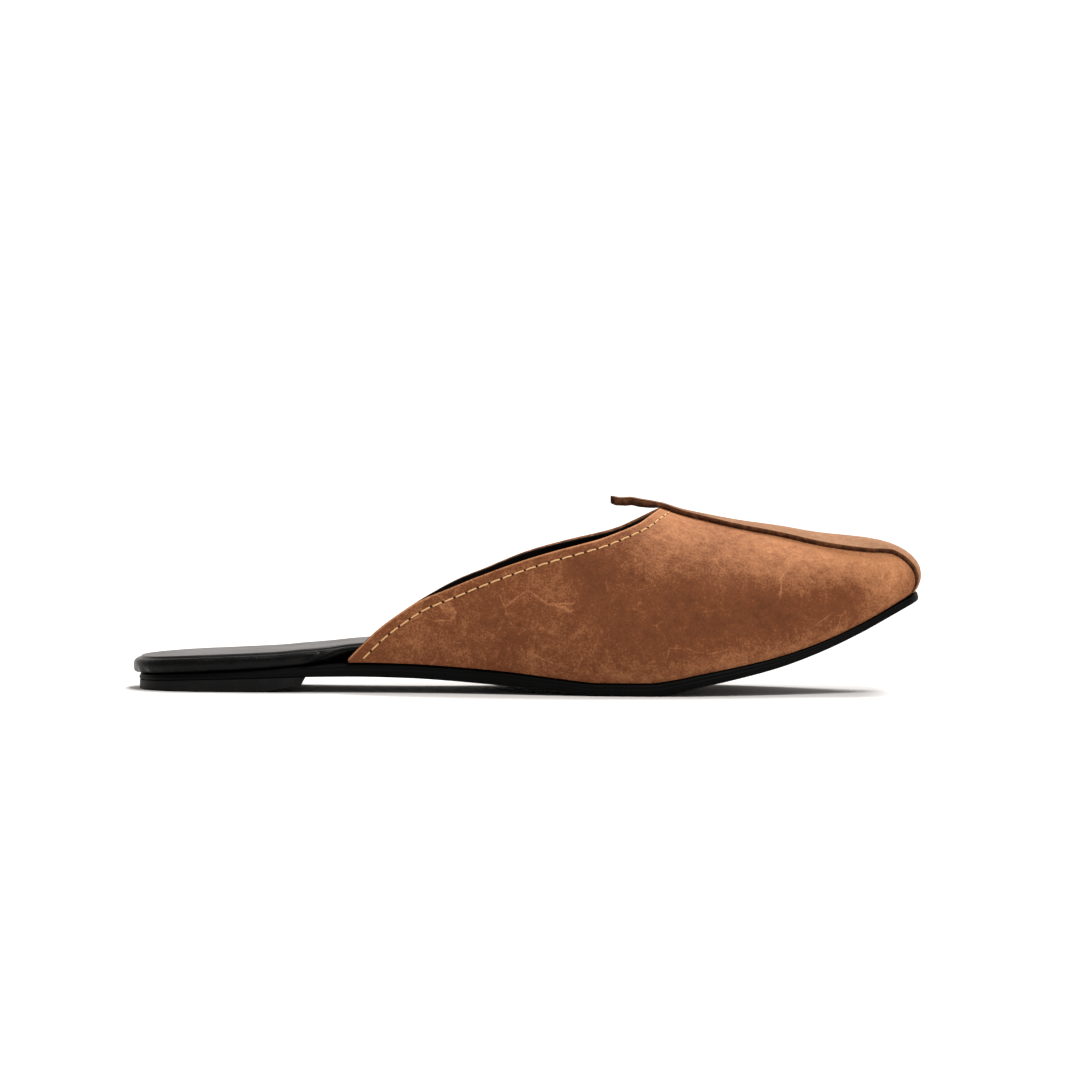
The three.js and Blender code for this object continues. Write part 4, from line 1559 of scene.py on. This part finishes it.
            # Painted highlight along the collar's cut edge.
            rim = 1 - smoothstep(to_collar, *self.rim_highlight_reach)
            self.layer(hide, grid, side, relief, -(self.wall - self.lining), (0, 2, 1), lift=lift, rim=rim)
            inner = -(self.wall - self.lining) - self.layer_gap
            self.layer(lining, grid, side, np.full_like(relief, inner), -self.wall, (0, 0, 0))
        of_hide = [finishes.upper, finishes.collar_edge, finishes.lining]
        pieces = [
            finished(hide.object("upper_hide", self.placing, of_hide), "upper", "upper"),
            finished(lining.object("upper_lining", self.placing, [finishes.lining]), "upper"),
        ]
        for side in Side:
            stitching = Stitching(self.placing, f"stitches_{side.column}")
            pieces.append(stitching.build(*seams[side], finishes))
        return pieces

    def layer(self, maker: MeshMaker, grid: Grid, side: Side, outside: np.ndarray, inside: float,
              finish: tuple[int, int, int], **marks: np.ndarray) -> None:
        """Adds one closed layer of the wall on one side.

        Args:
            maker: Collects the layer.
            grid: The side's grid.
            side: Side of the shoe.
            outside: Height of the layer's outer face over the grid.
            inside: Height of its inner face.
            finish: Materials of the outer face, the inner face and the edges.
            marks: Named numbers for each point of the outer face.
        """
        flip = side is Side.INNER
        out = grid.raised(outside)
        flat_normal = grid.normals[:, 0] * np.array([1, 1, 0])
        flat_normal /= np.linalg.norm(flat_normal, axis=-1, keepdims=True)
        into = grid.raised(inside)
        into[:, 0] = grid.points[:, 0] + flat_normal * inside
        out[:, 0] = grid.points[:, 0] + flat_normal * outside[:, :1]
        maker.sheet(out, flip, finish[0], **marks)
        maker.sheet(into, not flip, finish[1])
        maker.sheet(np.stack((into[:, 0], out[:, 0]), 1), flip, finish[2])
        open_end = slice(0, self.wing_columns + 1)
        upward = out[open_end, -1] - out[open_end, -2]
        upward /= np.maximum(np.linalg.norm(upward, axis=-1, keepdims=True), SMALL)
        steps = np.linspace(0, 1, self.edge_rows)[None, :, None]
        bulge = upward[:, None] * self.edge_round * np.sin(math.pi * steps)
        bulge[-1] = 0
        edge = out[open_end, -1][:, None] * (1 - steps) + into[open_end, -1][:, None] * steps + bulge
        maker.sheet(edge, flip, finish[2])
        back = np.stack((into[0], out[0]), 0)
        maker.sheet(back, flip, finish[2])


@dataclass
class Stitching:
    """A row of stitches with dark discs of painted shade for the holes between them, laid by a node tree
    along a line on the hide.
    """

    placing: Placing
    name: str
    pitch: float = 4.1
    stitch: float = 3.1
    thread: float = 0.27
    rise: float = 0.2
    sink: float = 0.3
    hole: float = 0.38
    hole_flatness: float = 0.3
    shortest: float = 0.9
    longest: float = 1.08
    seed: int = 7

    def guide(self, points: np.ndarray, normals: np.ndarray) -> bpy.types.Object:
        """Makes a line of edges along the seam, with the hide's normals kept on it.

        Args:
            points: Line of the seam.
            normals: The hide's normals along it.

        Returns:
            The line's object.
        """
        mesh = bpy.data.meshes.new(self.name)
        edges = [(k - 1, k) for k in range(1, len(points))]
        mesh.from_pydata(self.placing.metres(points).tolist(), edges, [])
        attribute = mesh.attributes.new("away", "FLOAT_VECTOR", "POINT")
        attribute.data.foreach_set("vector", normals.astype(np.float32).reshape(-1))
        return linked(self.name, mesh)

    def tree(self, thread: bpy.types.Material, hole: bpy.types.Material) -> bpy.types.NodeTree:
        """The node tree that lays the stitches.

        Args:
            thread: Material of the stitches.
            hole: Material of the pinholes' painted shade.

        Returns:
            The tree, with its sizes as named inputs in metres.
        """
        tree = bpy.data.node_groups.new("stitch_row", "GeometryNodeTree")
        face = tree.interface
        face.new_socket("Geometry", in_out="INPUT", socket_type="NodeSocketGeometry")
        for label in ("Pitch", "Stitch", "Thread", "Rise", "Sink", "Hole"):
            face.new_socket(label, in_out="INPUT", socket_type="NodeSocketFloat")
        face.new_socket("Seed", in_out="INPUT", socket_type="NodeSocketInt")
        face.new_socket("Geometry", in_out="OUTPUT", socket_type="NodeSocketGeometry")
        nodes = Nodes(tree)
        into = nodes.add("NodeGroupInput").outputs
        half = nodes.maths("MULTIPLY", into["Stitch"], 0.5)
        back = nodes.maths("MULTIPLY", into["Stitch"], -0.5)
        down = nodes.maths("MULTIPLY", into["Sink"], -1.0)
        high = nodes.maths("MULTIPLY", into["Rise"], 2.0)
        start = nodes.add("ShaderNodeCombineXYZ", X=back, Z=down).outputs[0]
        middle = nodes.add("ShaderNodeCombineXYZ", Z=high).outputs[0]
        end = nodes.add("ShaderNodeCombineXYZ", X=half, Z=down).outputs[0]
        arc = nodes.add("GeometryNodeCurveQuadraticBezier", Resolution=10, Start=start, Middle=middle,
                        End=end)
        ring = nodes.add("GeometryNodeCurvePrimitiveCircle", Resolution=8, Radius=into["Thread"])
        stitch = nodes.add("GeometryNodeCurveToMesh", Curve=arc.outputs[0], Profile_Curve=ring.outputs[0])
        stitch.inputs["Fill Caps"].default_value = True
        line = nodes.add("GeometryNodeMeshToCurve", Mesh=into["Geometry"])
        evenly = nodes.add("GeometryNodeResampleCurve", Curve=line.outputs[0])
        evenly.mode = "LENGTH"
        nodes.put(evenly, "Length", into["Pitch"])
        away = nodes.add("GeometryNodeInputNamedAttribute", data_type="FLOAT_VECTOR")
        away.inputs["Name"].default_value = "away"
        tangent = nodes.add("GeometryNodeInputTangent").outputs[0]
        upright = nodes.add("FunctionNodeAlignRotationToVector", axis="Z", Vector=away.outputs[0])
        lying = nodes.add("FunctionNodeAlignRotationToVector", axis="X", pivot_axis="Z",
                          Rotation=upright.outputs[0], Vector=tangent)
        wander = nodes.add("FunctionNodeRandomValue", data_type="FLOAT", Seed=into["Seed"])
        wander.inputs[2].default_value = self.shortest
        wander.inputs[3].default_value = self.longest
        size = nodes.add("ShaderNodeCombineXYZ", X=wander.outputs[1])
        size.inputs["Y"].default_value = 1.0
        size.inputs["Z"].default_value = 1.0
        laid = nodes.add("GeometryNodeInstanceOnPoints", Points=evenly.outputs[0], Instance=stitch.outputs[0],
                         Rotation=lying.outputs[0], Scale=size.outputs[0])
        threaded = nodes.add("GeometryNodeRealizeInstances", Geometry=laid.outputs[0])
        dressed = nodes.add("GeometryNodeSetMaterial", Geometry=threaded.outputs[0], Material=thread)
        # Flat dark discs between the stitches, painted shade of the pinholes.
        ball = nodes.add("GeometryNodeMeshUVSphere", Segments=10, Rings=5, Radius=into["Hole"])
        flat = nodes.add("GeometryNodeTransform", Geometry=ball.outputs[0])
        flat.inputs["Scale"].default_value = (1.0, 1.0, self.hole_flatness)
        step = nodes.add("ShaderNodeVectorMath", operation="NORMALIZE")
        nodes.put(step, 0, tangent)
        apart = nodes.add("ShaderNodeVectorMath", operation="SCALE")
        nodes.put(apart, 0, step.outputs[0])
        nodes.put(apart, "Scale", nodes.maths("MULTIPLY", into["Pitch"], 0.5))
        between = nodes.add("GeometryNodeSetPosition", Geometry=evenly.outputs[0], Offset=apart.outputs[0])
        pierced = nodes.add("GeometryNodeInstanceOnPoints", Points=between.outputs[0],
                            Instance=flat.outputs[0], Rotation=lying.outputs[0])
        holes = nodes.add("GeometryNodeRealizeInstances", Geometry=pierced.outputs[0])
        dark = nodes.add("GeometryNodeSetMaterial", Geometry=holes.outputs[0], Material=hole)
        both = nodes.add("GeometryNodeJoinGeometry")
        tree.links.new(dressed.outputs[0], both.inputs[0])
        tree.links.new(dark.outputs[0], both.inputs[0])
        nodes.add("NodeGroupOutput", Geometry=both.outputs[0])
        return tree

    def build(self, points: np.ndarray, normals: np.ndarray, finishes: Finishes) -> bpy.types.Object:
        """Lays the row and hands it over as one mesh.

        Args:
            points: Line of the seam.
            normals: The hide's normals along it.
            finishes: The shoe's materials.

        Returns:
            The finished piece.
        """
        guide = self.guide(points, normals)
        modifier = guide.modifiers.new("stitches", "NODES")
        modifier.node_group = self.tree(finishes.thread, finishes.pinhole_shade)
        sizes = {"Pitch": self.pitch, "Stitch": self.stitch, "Thread": self.thread, "Rise": self.rise,
                 "Sink": self.sink, "Hole": self.hole}
        for item in modifier.node_group.interface.items_tree:
            if item.in_out == "INPUT" and item.name in sizes:
                modifier[item.identifier] = sizes[item.name] * MILLIMETRE
            if item.in_out == "INPUT" and item.name == "Seed":
                modifier[item.identifier] = self.seed
        depsgraph = bpy.context.evaluated_depsgraph_get()
        mesh = bpy.data.meshes.new_from_object(guide.evaluated_get(depsgraph))
        guide.modifiers.remove(modifier)
        guide.data = mesh
        mesh.polygons.foreach_set("use_smooth", np.ones(len(mesh.polygons), bool))
        return finished(guide, "upper")


@dataclass
class CentreStrip:
    """The strip over the crown, with raw edges, and its free end behind the throat."""

    last: Last
    placing: Placing
    thickness: float = 1.5
    gap: float = 0.08
    width_throat: float = 9.6
    width_toe: float = 26.2
    turn: float = 0.74
    foot: float = 1.2
    skive: float = 0.3
    full_at: float = 0.55
    tab_reach: float = 15.9
    tab_rise: float = 1.8
    tab_thickness: float = 2.6
    tab_taper: float = 0.08
    tab_crown: float = 0.25
    tab_columns: int = 40
    vamp_columns: int = 40
    toe_columns: int = 150
    rows: int = 12
    edge_rows: int = 5
    fray: float = 0.9
    # Reach of the painted highlight along the strip's cut edges, in mm.
    rim_width: float = 0.35
    edge_bulge: float = 0.14
    tab_tone: float = -0.4
    vamp_tone: float = 0.35
    tone_from: float = -6.0
    tone_to: float = 26.0
    # Painted shade at the foot of the cut edge, where the strip meets the upper, running to lighter at its
    # top.
    wall_painted_shade: float = 0.35

    def edge_angle(self, cuts: Sections) -> np.ndarray:
        """Angle at which the strip's edge lies on each section.

        Args:
            cuts: Sections from the throat to the toe.

        Returns:
            The angles.
        """
        spread = Curve(STRIP, "spread", 1.0, self.last.length)(cuts.crown[:, 0])
        reach = (self.width_throat + (self.width_toe - self.width_throat) * spread) / 2
        whole = np.maximum(np.abs(cuts.foot[:, 1] - cuts.crown[:, 1]), SMALL)
        inside = np.minimum(1, (reach / whole) ** (1 / cuts.fullness))
        height = np.sqrt(1 - (np.cos(cuts.lean) * inside) ** 2) + np.sin(cuts.lean)
        kept = 1 - smoothstep(inside, self.turn, 1)
        rise = cuts.crown[:, 2] - cuts.floor
        lifted = np.maximum(self.foot, height / (1 + np.sin(cuts.lean)) * kept * rise)
        return self.last.angle_at(cuts, cuts.floor + lifted)

    def tab(self, side: Side, share: np.ndarray, top: bool) -> np.ndarray:
        """Half of the free end's upper or lower face, with a frayed end.

        Args:
            side: Side of the shoe.
            share: Shares of the reach behind the throat, one for each section.
            top: The upper face, or else the lower one.

        Returns:
            Points, one row for each section and one column for each step from the edge to the middle.
        """
        out = 1 - np.linspace(0, 1, self.rows + 1)[None, :]
        share = share[:, None]
        y = self.last.crown_ridge(np.array([self.last.throat_at]))[0] + side.value * (
            self.width_throat / 2) * (1 - self.tab_taper * share) * out
        ragged = sum(wave.at(y) for wave in FRAY)
        x = self.last.throat_at - self.tab_reach * share - self.fray * ragged * share**6
        base = self.last.throat_height + self.last.clearance + self.thickness
        z = base + self.tab_rise * Curve(TAB, "rise")(share) - self.tab_crown * out**2
        z = z + TAB_TOP_WAVE.at(x) * share
        # The lower face is black lining that thickens towards the free end; it stands in for the lining and
        # for painted shade under the free end.
        if not top:
            thick = Curve(TAB, "thick")(share)
            z = z - (self.thickness + (self.tab_thickness - self.thickness) * thick)
            z = z + TAB_UNDER_WAVE.at(x) * share
        return np.stack(np.broadcast_arrays(x, y, z), -1)

    def build(self, finishes: Finishes) -> list[bpy.types.Object]:
        """Makes the strip as one closed piece.

        Args:
            finishes: The shoe's materials.

        Returns:
            The finished piece.
        """
        cuts = {}
        for side in Side:
            cuts[side] = self.last.vamp_sections(side, self.vamp_columns, self.toe_columns)
            cuts[side].start = self.edge_angle(cuts[side])
        grids = self.last.grid(cuts, np.linspace(0, 1, self.rows + 1))
        behind = np.linspace(1, 0, self.tab_columns, endpoint=False)
        maker = MeshMaker()
        for side in Side:
            grid = grids[side]
            flip = side is Side.INNER
            floor = cuts[side].floor[:, None]
            rise = (cuts[side].crown[:, 2] - cuts[side].floor)[:, None]
            full = smoothstep((grid.points[..., 2] - floor) / rise, 0, self.full_at)
            thick = self.thickness * (self.skive + (1 - self.skive) * full)
            top = self.last.clearance + self.thickness
            raised = grid.raised(self.gap + thick + (top - self.thickness - self.gap) * full)
            out = np.concatenate((self.tab(side, behind, True), raised))
            into = np.concatenate((self.tab(side, behind, False), grid.raised(self.gap)))
            # Painted highlight along the strip's cut edges.
            edge_highlight = np.exp(-np.linalg.norm(out - out[:, :1], axis=-1) / self.rim_width)
            ahead = smoothstep(out[..., 0] - self.last.throat_at, self.tone_from, self.tone_to)
            lift = self.tab_tone + (self.vamp_tone - self.tab_tone) * ahead
            maker.sheet(out, flip, 0, lift=lift, rim=edge_highlight)
            # The black lining of the lower face, which under the free end also serves as painted shade.
            maker.sheet(into, not flip, 1)
            steps = np.linspace(0, 1, self.edge_rows)[None, :, None]
            sideways = out[:, 0] - out[:, 1]
            sideways /= np.maximum(np.linalg.norm(sideways, axis=-1, keepdims=True), SMALL)
            wobble = STRIP_EDGE_WAVE.at(np.arange(len(out)))[:, None, None]
            bulge = sideways[:, None] * (self.edge_bulge + wobble) * np.sin(math.pi * steps)
            bulge[0] = 0
            wall = into[:, 0][:, None] * (1 - steps) + out[:, 0][:, None] * steps + bulge
            # Painted shade at the wall's foot, lighter towards its top.
            maker.sheet(wall, flip, 2, lift=(2 * steps[..., 0] - 1) * self.wall_painted_shade)
            maker.sheet(np.stack((into[0], out[0]), 0), flip, 2)
        of_strip = [finishes.strip, finishes.lining, finishes.raw_edge]
        made = maker.object("centre_strip_hide", self.placing, of_strip)
        return [finished(made, "centre_strip", "centre_strip")]


@dataclass
class Slab:
    """A flat piece of the sole between an underside and a top, with a profile round its edge."""

    last: Last
    placing: Placing
    name: str
    profile: tuple[SideRow, ...]
    bottom: Callable[[np.ndarray], np.ndarray]
    thickness: Callable[[np.ndarray], np.ndarray]
    outset: Callable[[np.ndarray], np.ndarray]
    reach: float
    spacing: float = 1.6
    cap_columns: int = 26
    short_columns: int = 24
    side_rows: int = 16
    across: int = 16
    slant: Callable[[np.ndarray, float], np.ndarray] | None = None
    ripple: Callable[[np.ndarray, float], np.ndarray] | None = None
    keel: Callable[[Side, np.ndarray], np.ndarray] | None = None

    def stations(self) -> np.ndarray:
        """Places along the piece, closer together round the heel and the toe.

        Returns:
            The places, as x.
        """
        turn = np.linspace(0, math.pi / 2, self.cap_columns, endpoint=False)
        heel = self.last.heel_cap * (1 - np.cos(turn))
        if self.reach < self.last.length:
            return np.concatenate((heel, np.linspace(self.last.heel_cap, self.reach, self.short_columns)))
        toe_start = self.last.length - self.last.toe_cap
        count = round((toe_start - self.last.heel_cap) / self.spacing)
        middle = np.linspace(self.last.heel_cap, toe_start, count, endpoint=False)
        toe = toe_start + self.last.toe_cap * np.sin(np.linspace(0, math.pi / 2, self.cap_columns))
        return np.concatenate((heel, middle, toe))

    def ring(self, side: Side, x: np.ndarray, share: float) -> np.ndarray:
        """Points of one side's edge at one height.

        Args:
            side: Side of the shoe.
            x: Places along the piece.
            share: Share of the thickness.

        Returns:
            Points, one for each place.
        """
        inset = Curve(self.profile, "inset")(np.array(share))
        outset = self.outset(x) - inset
        if self.ripple is not None:
            outset = outset + self.ripple(x, share)
        plan = self.last.outline(side, x, outset)
        z = self.bottom(x) + self.thickness(x) * share
        made = np.concatenate((plan, z[:, None]), 1)
        if self.slant is not None:
            made[:, 0] -= self.slant(x, share)
        return made

    def rings(self, side: Side) -> np.ndarray:
        """Rings of one side from the underside to the top.

        Args:
            side: Side of the shoe.

        Returns:
            Points, one row for each place along the piece.
        """
        x = self.stations()
        shares = (1 - np.cos(np.linspace(0, math.pi, self.side_rows + 1))) / 2
        made = [self.ring(side, x, share) for share in shares]
        if self.keel is not None:
            made.insert(0, self.keel(side, x))
        return np.stack(made, 1)

    def object(self, material: bpy.types.Material) -> bpy.types.Object:
        """Makes the closed piece.

        Args:
            material: Its material.

        Returns:
            The linked object.
        """
        rings = {side: self.rings(side) for side in Side}
        maker = MeshMaker()
        for side in Side:
            maker.sheet(rings[side], side is Side.INNER, 0)
        steps = np.linspace(0, 1, self.across + 1)[None, :, None]
        for index, flip in ((-1, False), (0, True)):
            outer = rings[Side.OUTER][:, index][:, None]
            inner = rings[Side.INNER][:, index][:, None]
            maker.sheet(outer * (1 - steps) + inner * steps, flip, 0)
        if self.reach < self.last.length:
            front = np.stack((rings[Side.OUTER][-1], rings[Side.INNER][-1]), 0)
            maker.sheet(front, False, 0)
        return maker.object(self.name, self.placing, [material])


@dataclass
class Bottom:
    """Everything under the foot: outsole, heel lift, footbed and sock."""

    last: Last
    placing: Placing
    heel_length: float = 58.0
    heel_flat: float = 40.0
    heel_roll: float = 2.2
    breast_start: float = 46.0
    breast_slant: float = 1.5
    heel_inset: float = 0.15
    heel_gap: float = 0.05
    arch_edge: float = 7.0
    pleat: float = 0.4
    pleat_height: float = 0.3
    pleat_pace: float = 2.3
    pleat_drift: Wave = Wave(1.4, 0.6, 0.0)
    pleats_end: tuple[float, float] = (10.0, 46.0)
    soft_wave: float = 0.07
    soft_pace: float = 0.31
    soft_slant: float = 2.0
    fold: float = 0.7
    fold_width: float = 0.14
    fold_foot: float = 0.1
    fold_climb: float = 0.8
    fold_sharpness: float = 6.0
    fold_from: float = 57.0
    fold_length: float = 13.0
    sock_thickness: float = 0.6
    sock_margin: float = 2.4
    sock_gap: float = 0.05

    def outsole(self, finishes: Finishes) -> bpy.types.Object:
        """The outsole, with its rounded edge and the fine line along it.

        Args:
            finishes: The shoe's materials.

        Returns:
            The finished piece.
        """
        slab = Slab(self.last, self.placing, "outsole_rubber", OUTSOLE_SIDE, self.last.sole_bottom,
                    self.last.sole_thickness, lambda x: self.last.sole_outset(x) - self.last.edge_setback,
                    self.last.length, side_rows=26)
        return finished(slab.object(finishes.outsole), "outsole", "outsole")

    def heel_bottom(self, x: np.ndarray) -> np.ndarray:
        """Height of the heel's underside, rolled up towards its front."""
        past = np.clip((x - self.heel_flat) / (self.heel_length - self.heel_flat), 0, 1)
        return self.heel_roll * past**2 * (2 - past)

    def heel(self, finishes: Finishes) -> bpy.types.Object:
        """The heel lift, with a slanted front face.

        Args:
            finishes: The shoe's materials.

        Returns:
            The finished piece.
        """

        def slant(x: np.ndarray, share: float) -> np.ndarray:
            """How far the front face leans back at one height."""
            past = np.clip((x - self.breast_start) / (self.heel_length - self.breast_start), 0, 1)
            return self.breast_slant * (1 - share) * past

        slab = Slab(
            self.last, self.placing, "heel_lift_rubber", HEEL_SIDE, self.heel_bottom,
            lambda x: self.last.sole_bottom(x) - self.heel_gap - self.heel_bottom(x),
            lambda x: self.last.sole_outset(x) - self.last.edge_setback - self.heel_inset,
            self.heel_length, slant=slant, side_rows=30)
        return finished(slab.object(finishes.heel), "heel_lift", "heel_lift")

    def footbed(self, finishes: Finishes) -> bpy.types.Object:
        """The footbed: a padded seat that thins to a board, pleated round the heel, with a fold at the upper.

        Args:
            finishes: The shoe's materials.

        Returns:
            The finished piece.
        """

        def keel(side: Side, x: np.ndarray) -> np.ndarray:
            """Finds the edge of the underside, which comes down to the sole inside the free arch.

            Args:
                side: Side of the shoe.
                x: Places along the footbed.

            Returns:
                Points, one for each place.
            """
            free = FOOTBED_SIDE[0].inset + self.arch_edge * self.last.footbed_lift(x) / self.last.arch_gap
            plan = self.last.outline(side, x, -self.last.footbed_tuck(x) - free)
            return np.concatenate((plan, self.last.feather(x)[:, None]), 1)

        def ripple(x: np.ndarray, share: float) -> np.ndarray:
            """Pleats low round the heel, soft waves, and the fold that climbs towards the upper.

            Args:
                x: Places along the footbed.
                share: Share of its thickness.

            Returns:
                How far the wrapping stands out, in millimetres.
            """
            heel = 1 - smoothstep(x, *self.pleats_end)
            low = math.exp(-((share / self.pleat_height) ** 2))
            pleats = self.pleat * heel * low * np.sin(x * self.pleat_pace + self.pleat_drift.at(x))
            soft = self.soft_wave * np.sin(x * self.soft_pace + self.soft_slant * share)
            soft = soft * math.sin(math.pi * share)
            along = (x - self.fold_from) / self.fold_length
            climb = self.fold_foot + self.fold_climb * along
            there = np.exp(-((along - 0.5) ** 4) * self.fold_sharpness)
            return pleats + soft + self.fold * there * np.exp(-(((share - climb) / self.fold_width) ** 2))

        slab = Slab(self.last, self.placing, "footbed_leather", FOOTBED_SIDE, self.last.footbed_bottom,
                    self.last.footbed_height, lambda x: -self.last.footbed_tuck(x), self.last.length,
                    side_rows=24, spacing=0.8, ripple=ripple, keel=keel)
        return finished(slab.object(finishes.footbed), "footbed", "footbed")

    def sock(self, finishes: Finishes) -> bpy.types.Object:
        """The sock: a thin leather sheet inside the footbed's rim.

        Args:
            finishes: The shoe's materials.

        Returns:
            The finished piece.
        """
        slab = Slab(self.last, self.placing, "sock_leather", SOCK_SIDE,
                    lambda x: self.last.footbed_top(x) + self.sock_gap,
                    lambda x: 0 * x + self.sock_thickness,
                    lambda x: -self.last.footbed_tuck(x) - self.sock_margin, self.last.length, side_rows=6)
        return finished(slab.object(finishes.sock), "sock", "sock")

    def build(self, finishes: Finishes) -> list[bpy.types.Object]:
        """Makes the four pieces."""
        return [self.outsole(finishes), self.heel(finishes), self.footbed(finishes), self.sock(finishes)]


@dataclass
class Studio:
    """The pale floor, the soft lights and the camera at the photograph's angle."""

    placing: Placing
    camera_at: tuple[float, float, float] = (135.279, -2500.096, 137.246)
    camera_pitch: float = 2.0
    camera_roll: float = 0.31
    lens: float = 250.0
    sensor: float = 36.0
    clip_end: float = 200.0
    floor_radius: float = 30.0
    floor_sides: int = 96
    floor_colour: tuple[float, float, float, float] = (0.82, 0.81, 0.8, 1.0)
    floor_roughness: float = 0.9
    floor_specular: float = 0.1
    key_from: tuple[float, float, float] = (0.25, -0.4, 0.88)
    key_power: float = 1.9
    key_width: float = 18.0
    top_from: tuple[float, float, float] = (0.28, 0.5, 0.82)
    top_power: float = 2.9
    top_width: float = 26.0
    room_dim: float = 0.4
    room_bright: float = 0.66
    wall_from: float = 0.2
    wall_to: float = 0.9
    room_colour: tuple[float, float, float, float] = (1.0, 0.94, 0.9, 1.0)
    backdrop: float = 1.25

    def floor(self) -> None:
        """A wide pale floor."""
        mesh = bpy.data.meshes.new("floor")
        turn = np.linspace(0, 2 * math.pi, self.floor_sides, endpoint=False)
        points = [(self.floor_radius * math.cos(t), self.floor_radius * math.sin(t), 0.0) for t in turn]
        mesh.from_pydata(points, [], [list(range(len(points)))])
        made = linked("floor", mesh)
        material, nodes, shader = started("pale_floor")
        nodes.put(shader, "Base Color", self.floor_colour)
        nodes.surface(shader, self.floor_roughness, self.floor_specular)
        mesh.materials.append(material)

    def lamp(self, name: str, place: tuple[float, float, float], power: float, width: float) -> None:
        """A large soft lamp, far enough off to light the floor evenly.

        Args:
            name: Name of the lamp.
            place: Direction that it shines from.
            power: Its strength.
            width: How wide it looks from the shoe, in degrees.
        """
        data = bpy.data.lights.new(name, "SUN")
        data.energy = power
        data.angle = math.radians(width)
        linked(name, data).rotation_euler = Vector(place).to_track_quat("Z", "Y").to_euler()

    def room(self) -> None:
        """A dim room with a bright wall behind the shoe, which the camera sees as plain white."""
        world = bpy.data.worlds.new("studio")
        world.use_nodes = True
        nodes = Nodes(world.node_tree)
        towards = nodes.add("ShaderNodeTexCoord").outputs["Generated"]
        parts = nodes.add("ShaderNodeSeparateXYZ", Vector=towards).outputs
        behind = nodes.ramp(parts["Y"], self.wall_from, self.wall_to)
        level = nodes.maths("ADD", self.room_dim, nodes.maths("MULTIPLY", behind, self.room_bright))
        seen = nodes.add("ShaderNodeLightPath").outputs["Is Camera Ray"]
        white = nodes.maths("MAXIMUM", level, nodes.maths("MULTIPLY", seen, self.backdrop))
        nodes.put(world.node_tree.nodes["Background"], "Strength", white)
        nodes.put(world.node_tree.nodes["Background"], "Color", self.room_colour)
        bpy.context.scene.world = world

    def camera(self) -> None:
        """The camera, low over the floor and far to the outer side, rolled a little."""
        data = bpy.data.cameras.new("camera")
        data.lens = self.lens
        data.sensor_width = self.sensor
        data.clip_end = self.clip_end
        made = linked("camera", data)
        place = self.placing.metres(np.array(self.camera_at))
        tilt = Matrix.Rotation(math.radians(90 - self.camera_pitch), 4, "X")
        roll = Matrix.Rotation(math.radians(self.camera_roll), 4, "Z")
        made.matrix_world = Matrix.Translation(Vector(place)) @ tilt @ roll
        bpy.context.scene.camera = made

    def build(self) -> None:
        """Sets up the whole studio."""
        self.floor()
        self.lamp("key", self.key_from, self.key_power, self.key_width)
        self.lamp("top", self.top_from, self.top_power, self.top_width)
        self.room()
        self.camera()
        settings = bpy.context.scene.view_settings
        settings.view_transform = "Standard"
        settings.look = "None"


def main() -> None:
    """Builds the shoe from the sole up, then the studio."""
    logging.basicConfig(level=logging.INFO, format="%(message)s")
    last = Last()
    placing = Placing(last)
    finishes = Finishes()
    pieces = Bottom(last, placing).build(finishes)
    pieces += Upper(last, placing).build(finishes)
    pieces += CentreStrip(last, placing).build(finishes)
    log.info("%d pieces", len(pieces))
    Studio(placing).build()


if __name__ == "__main__":
    main()
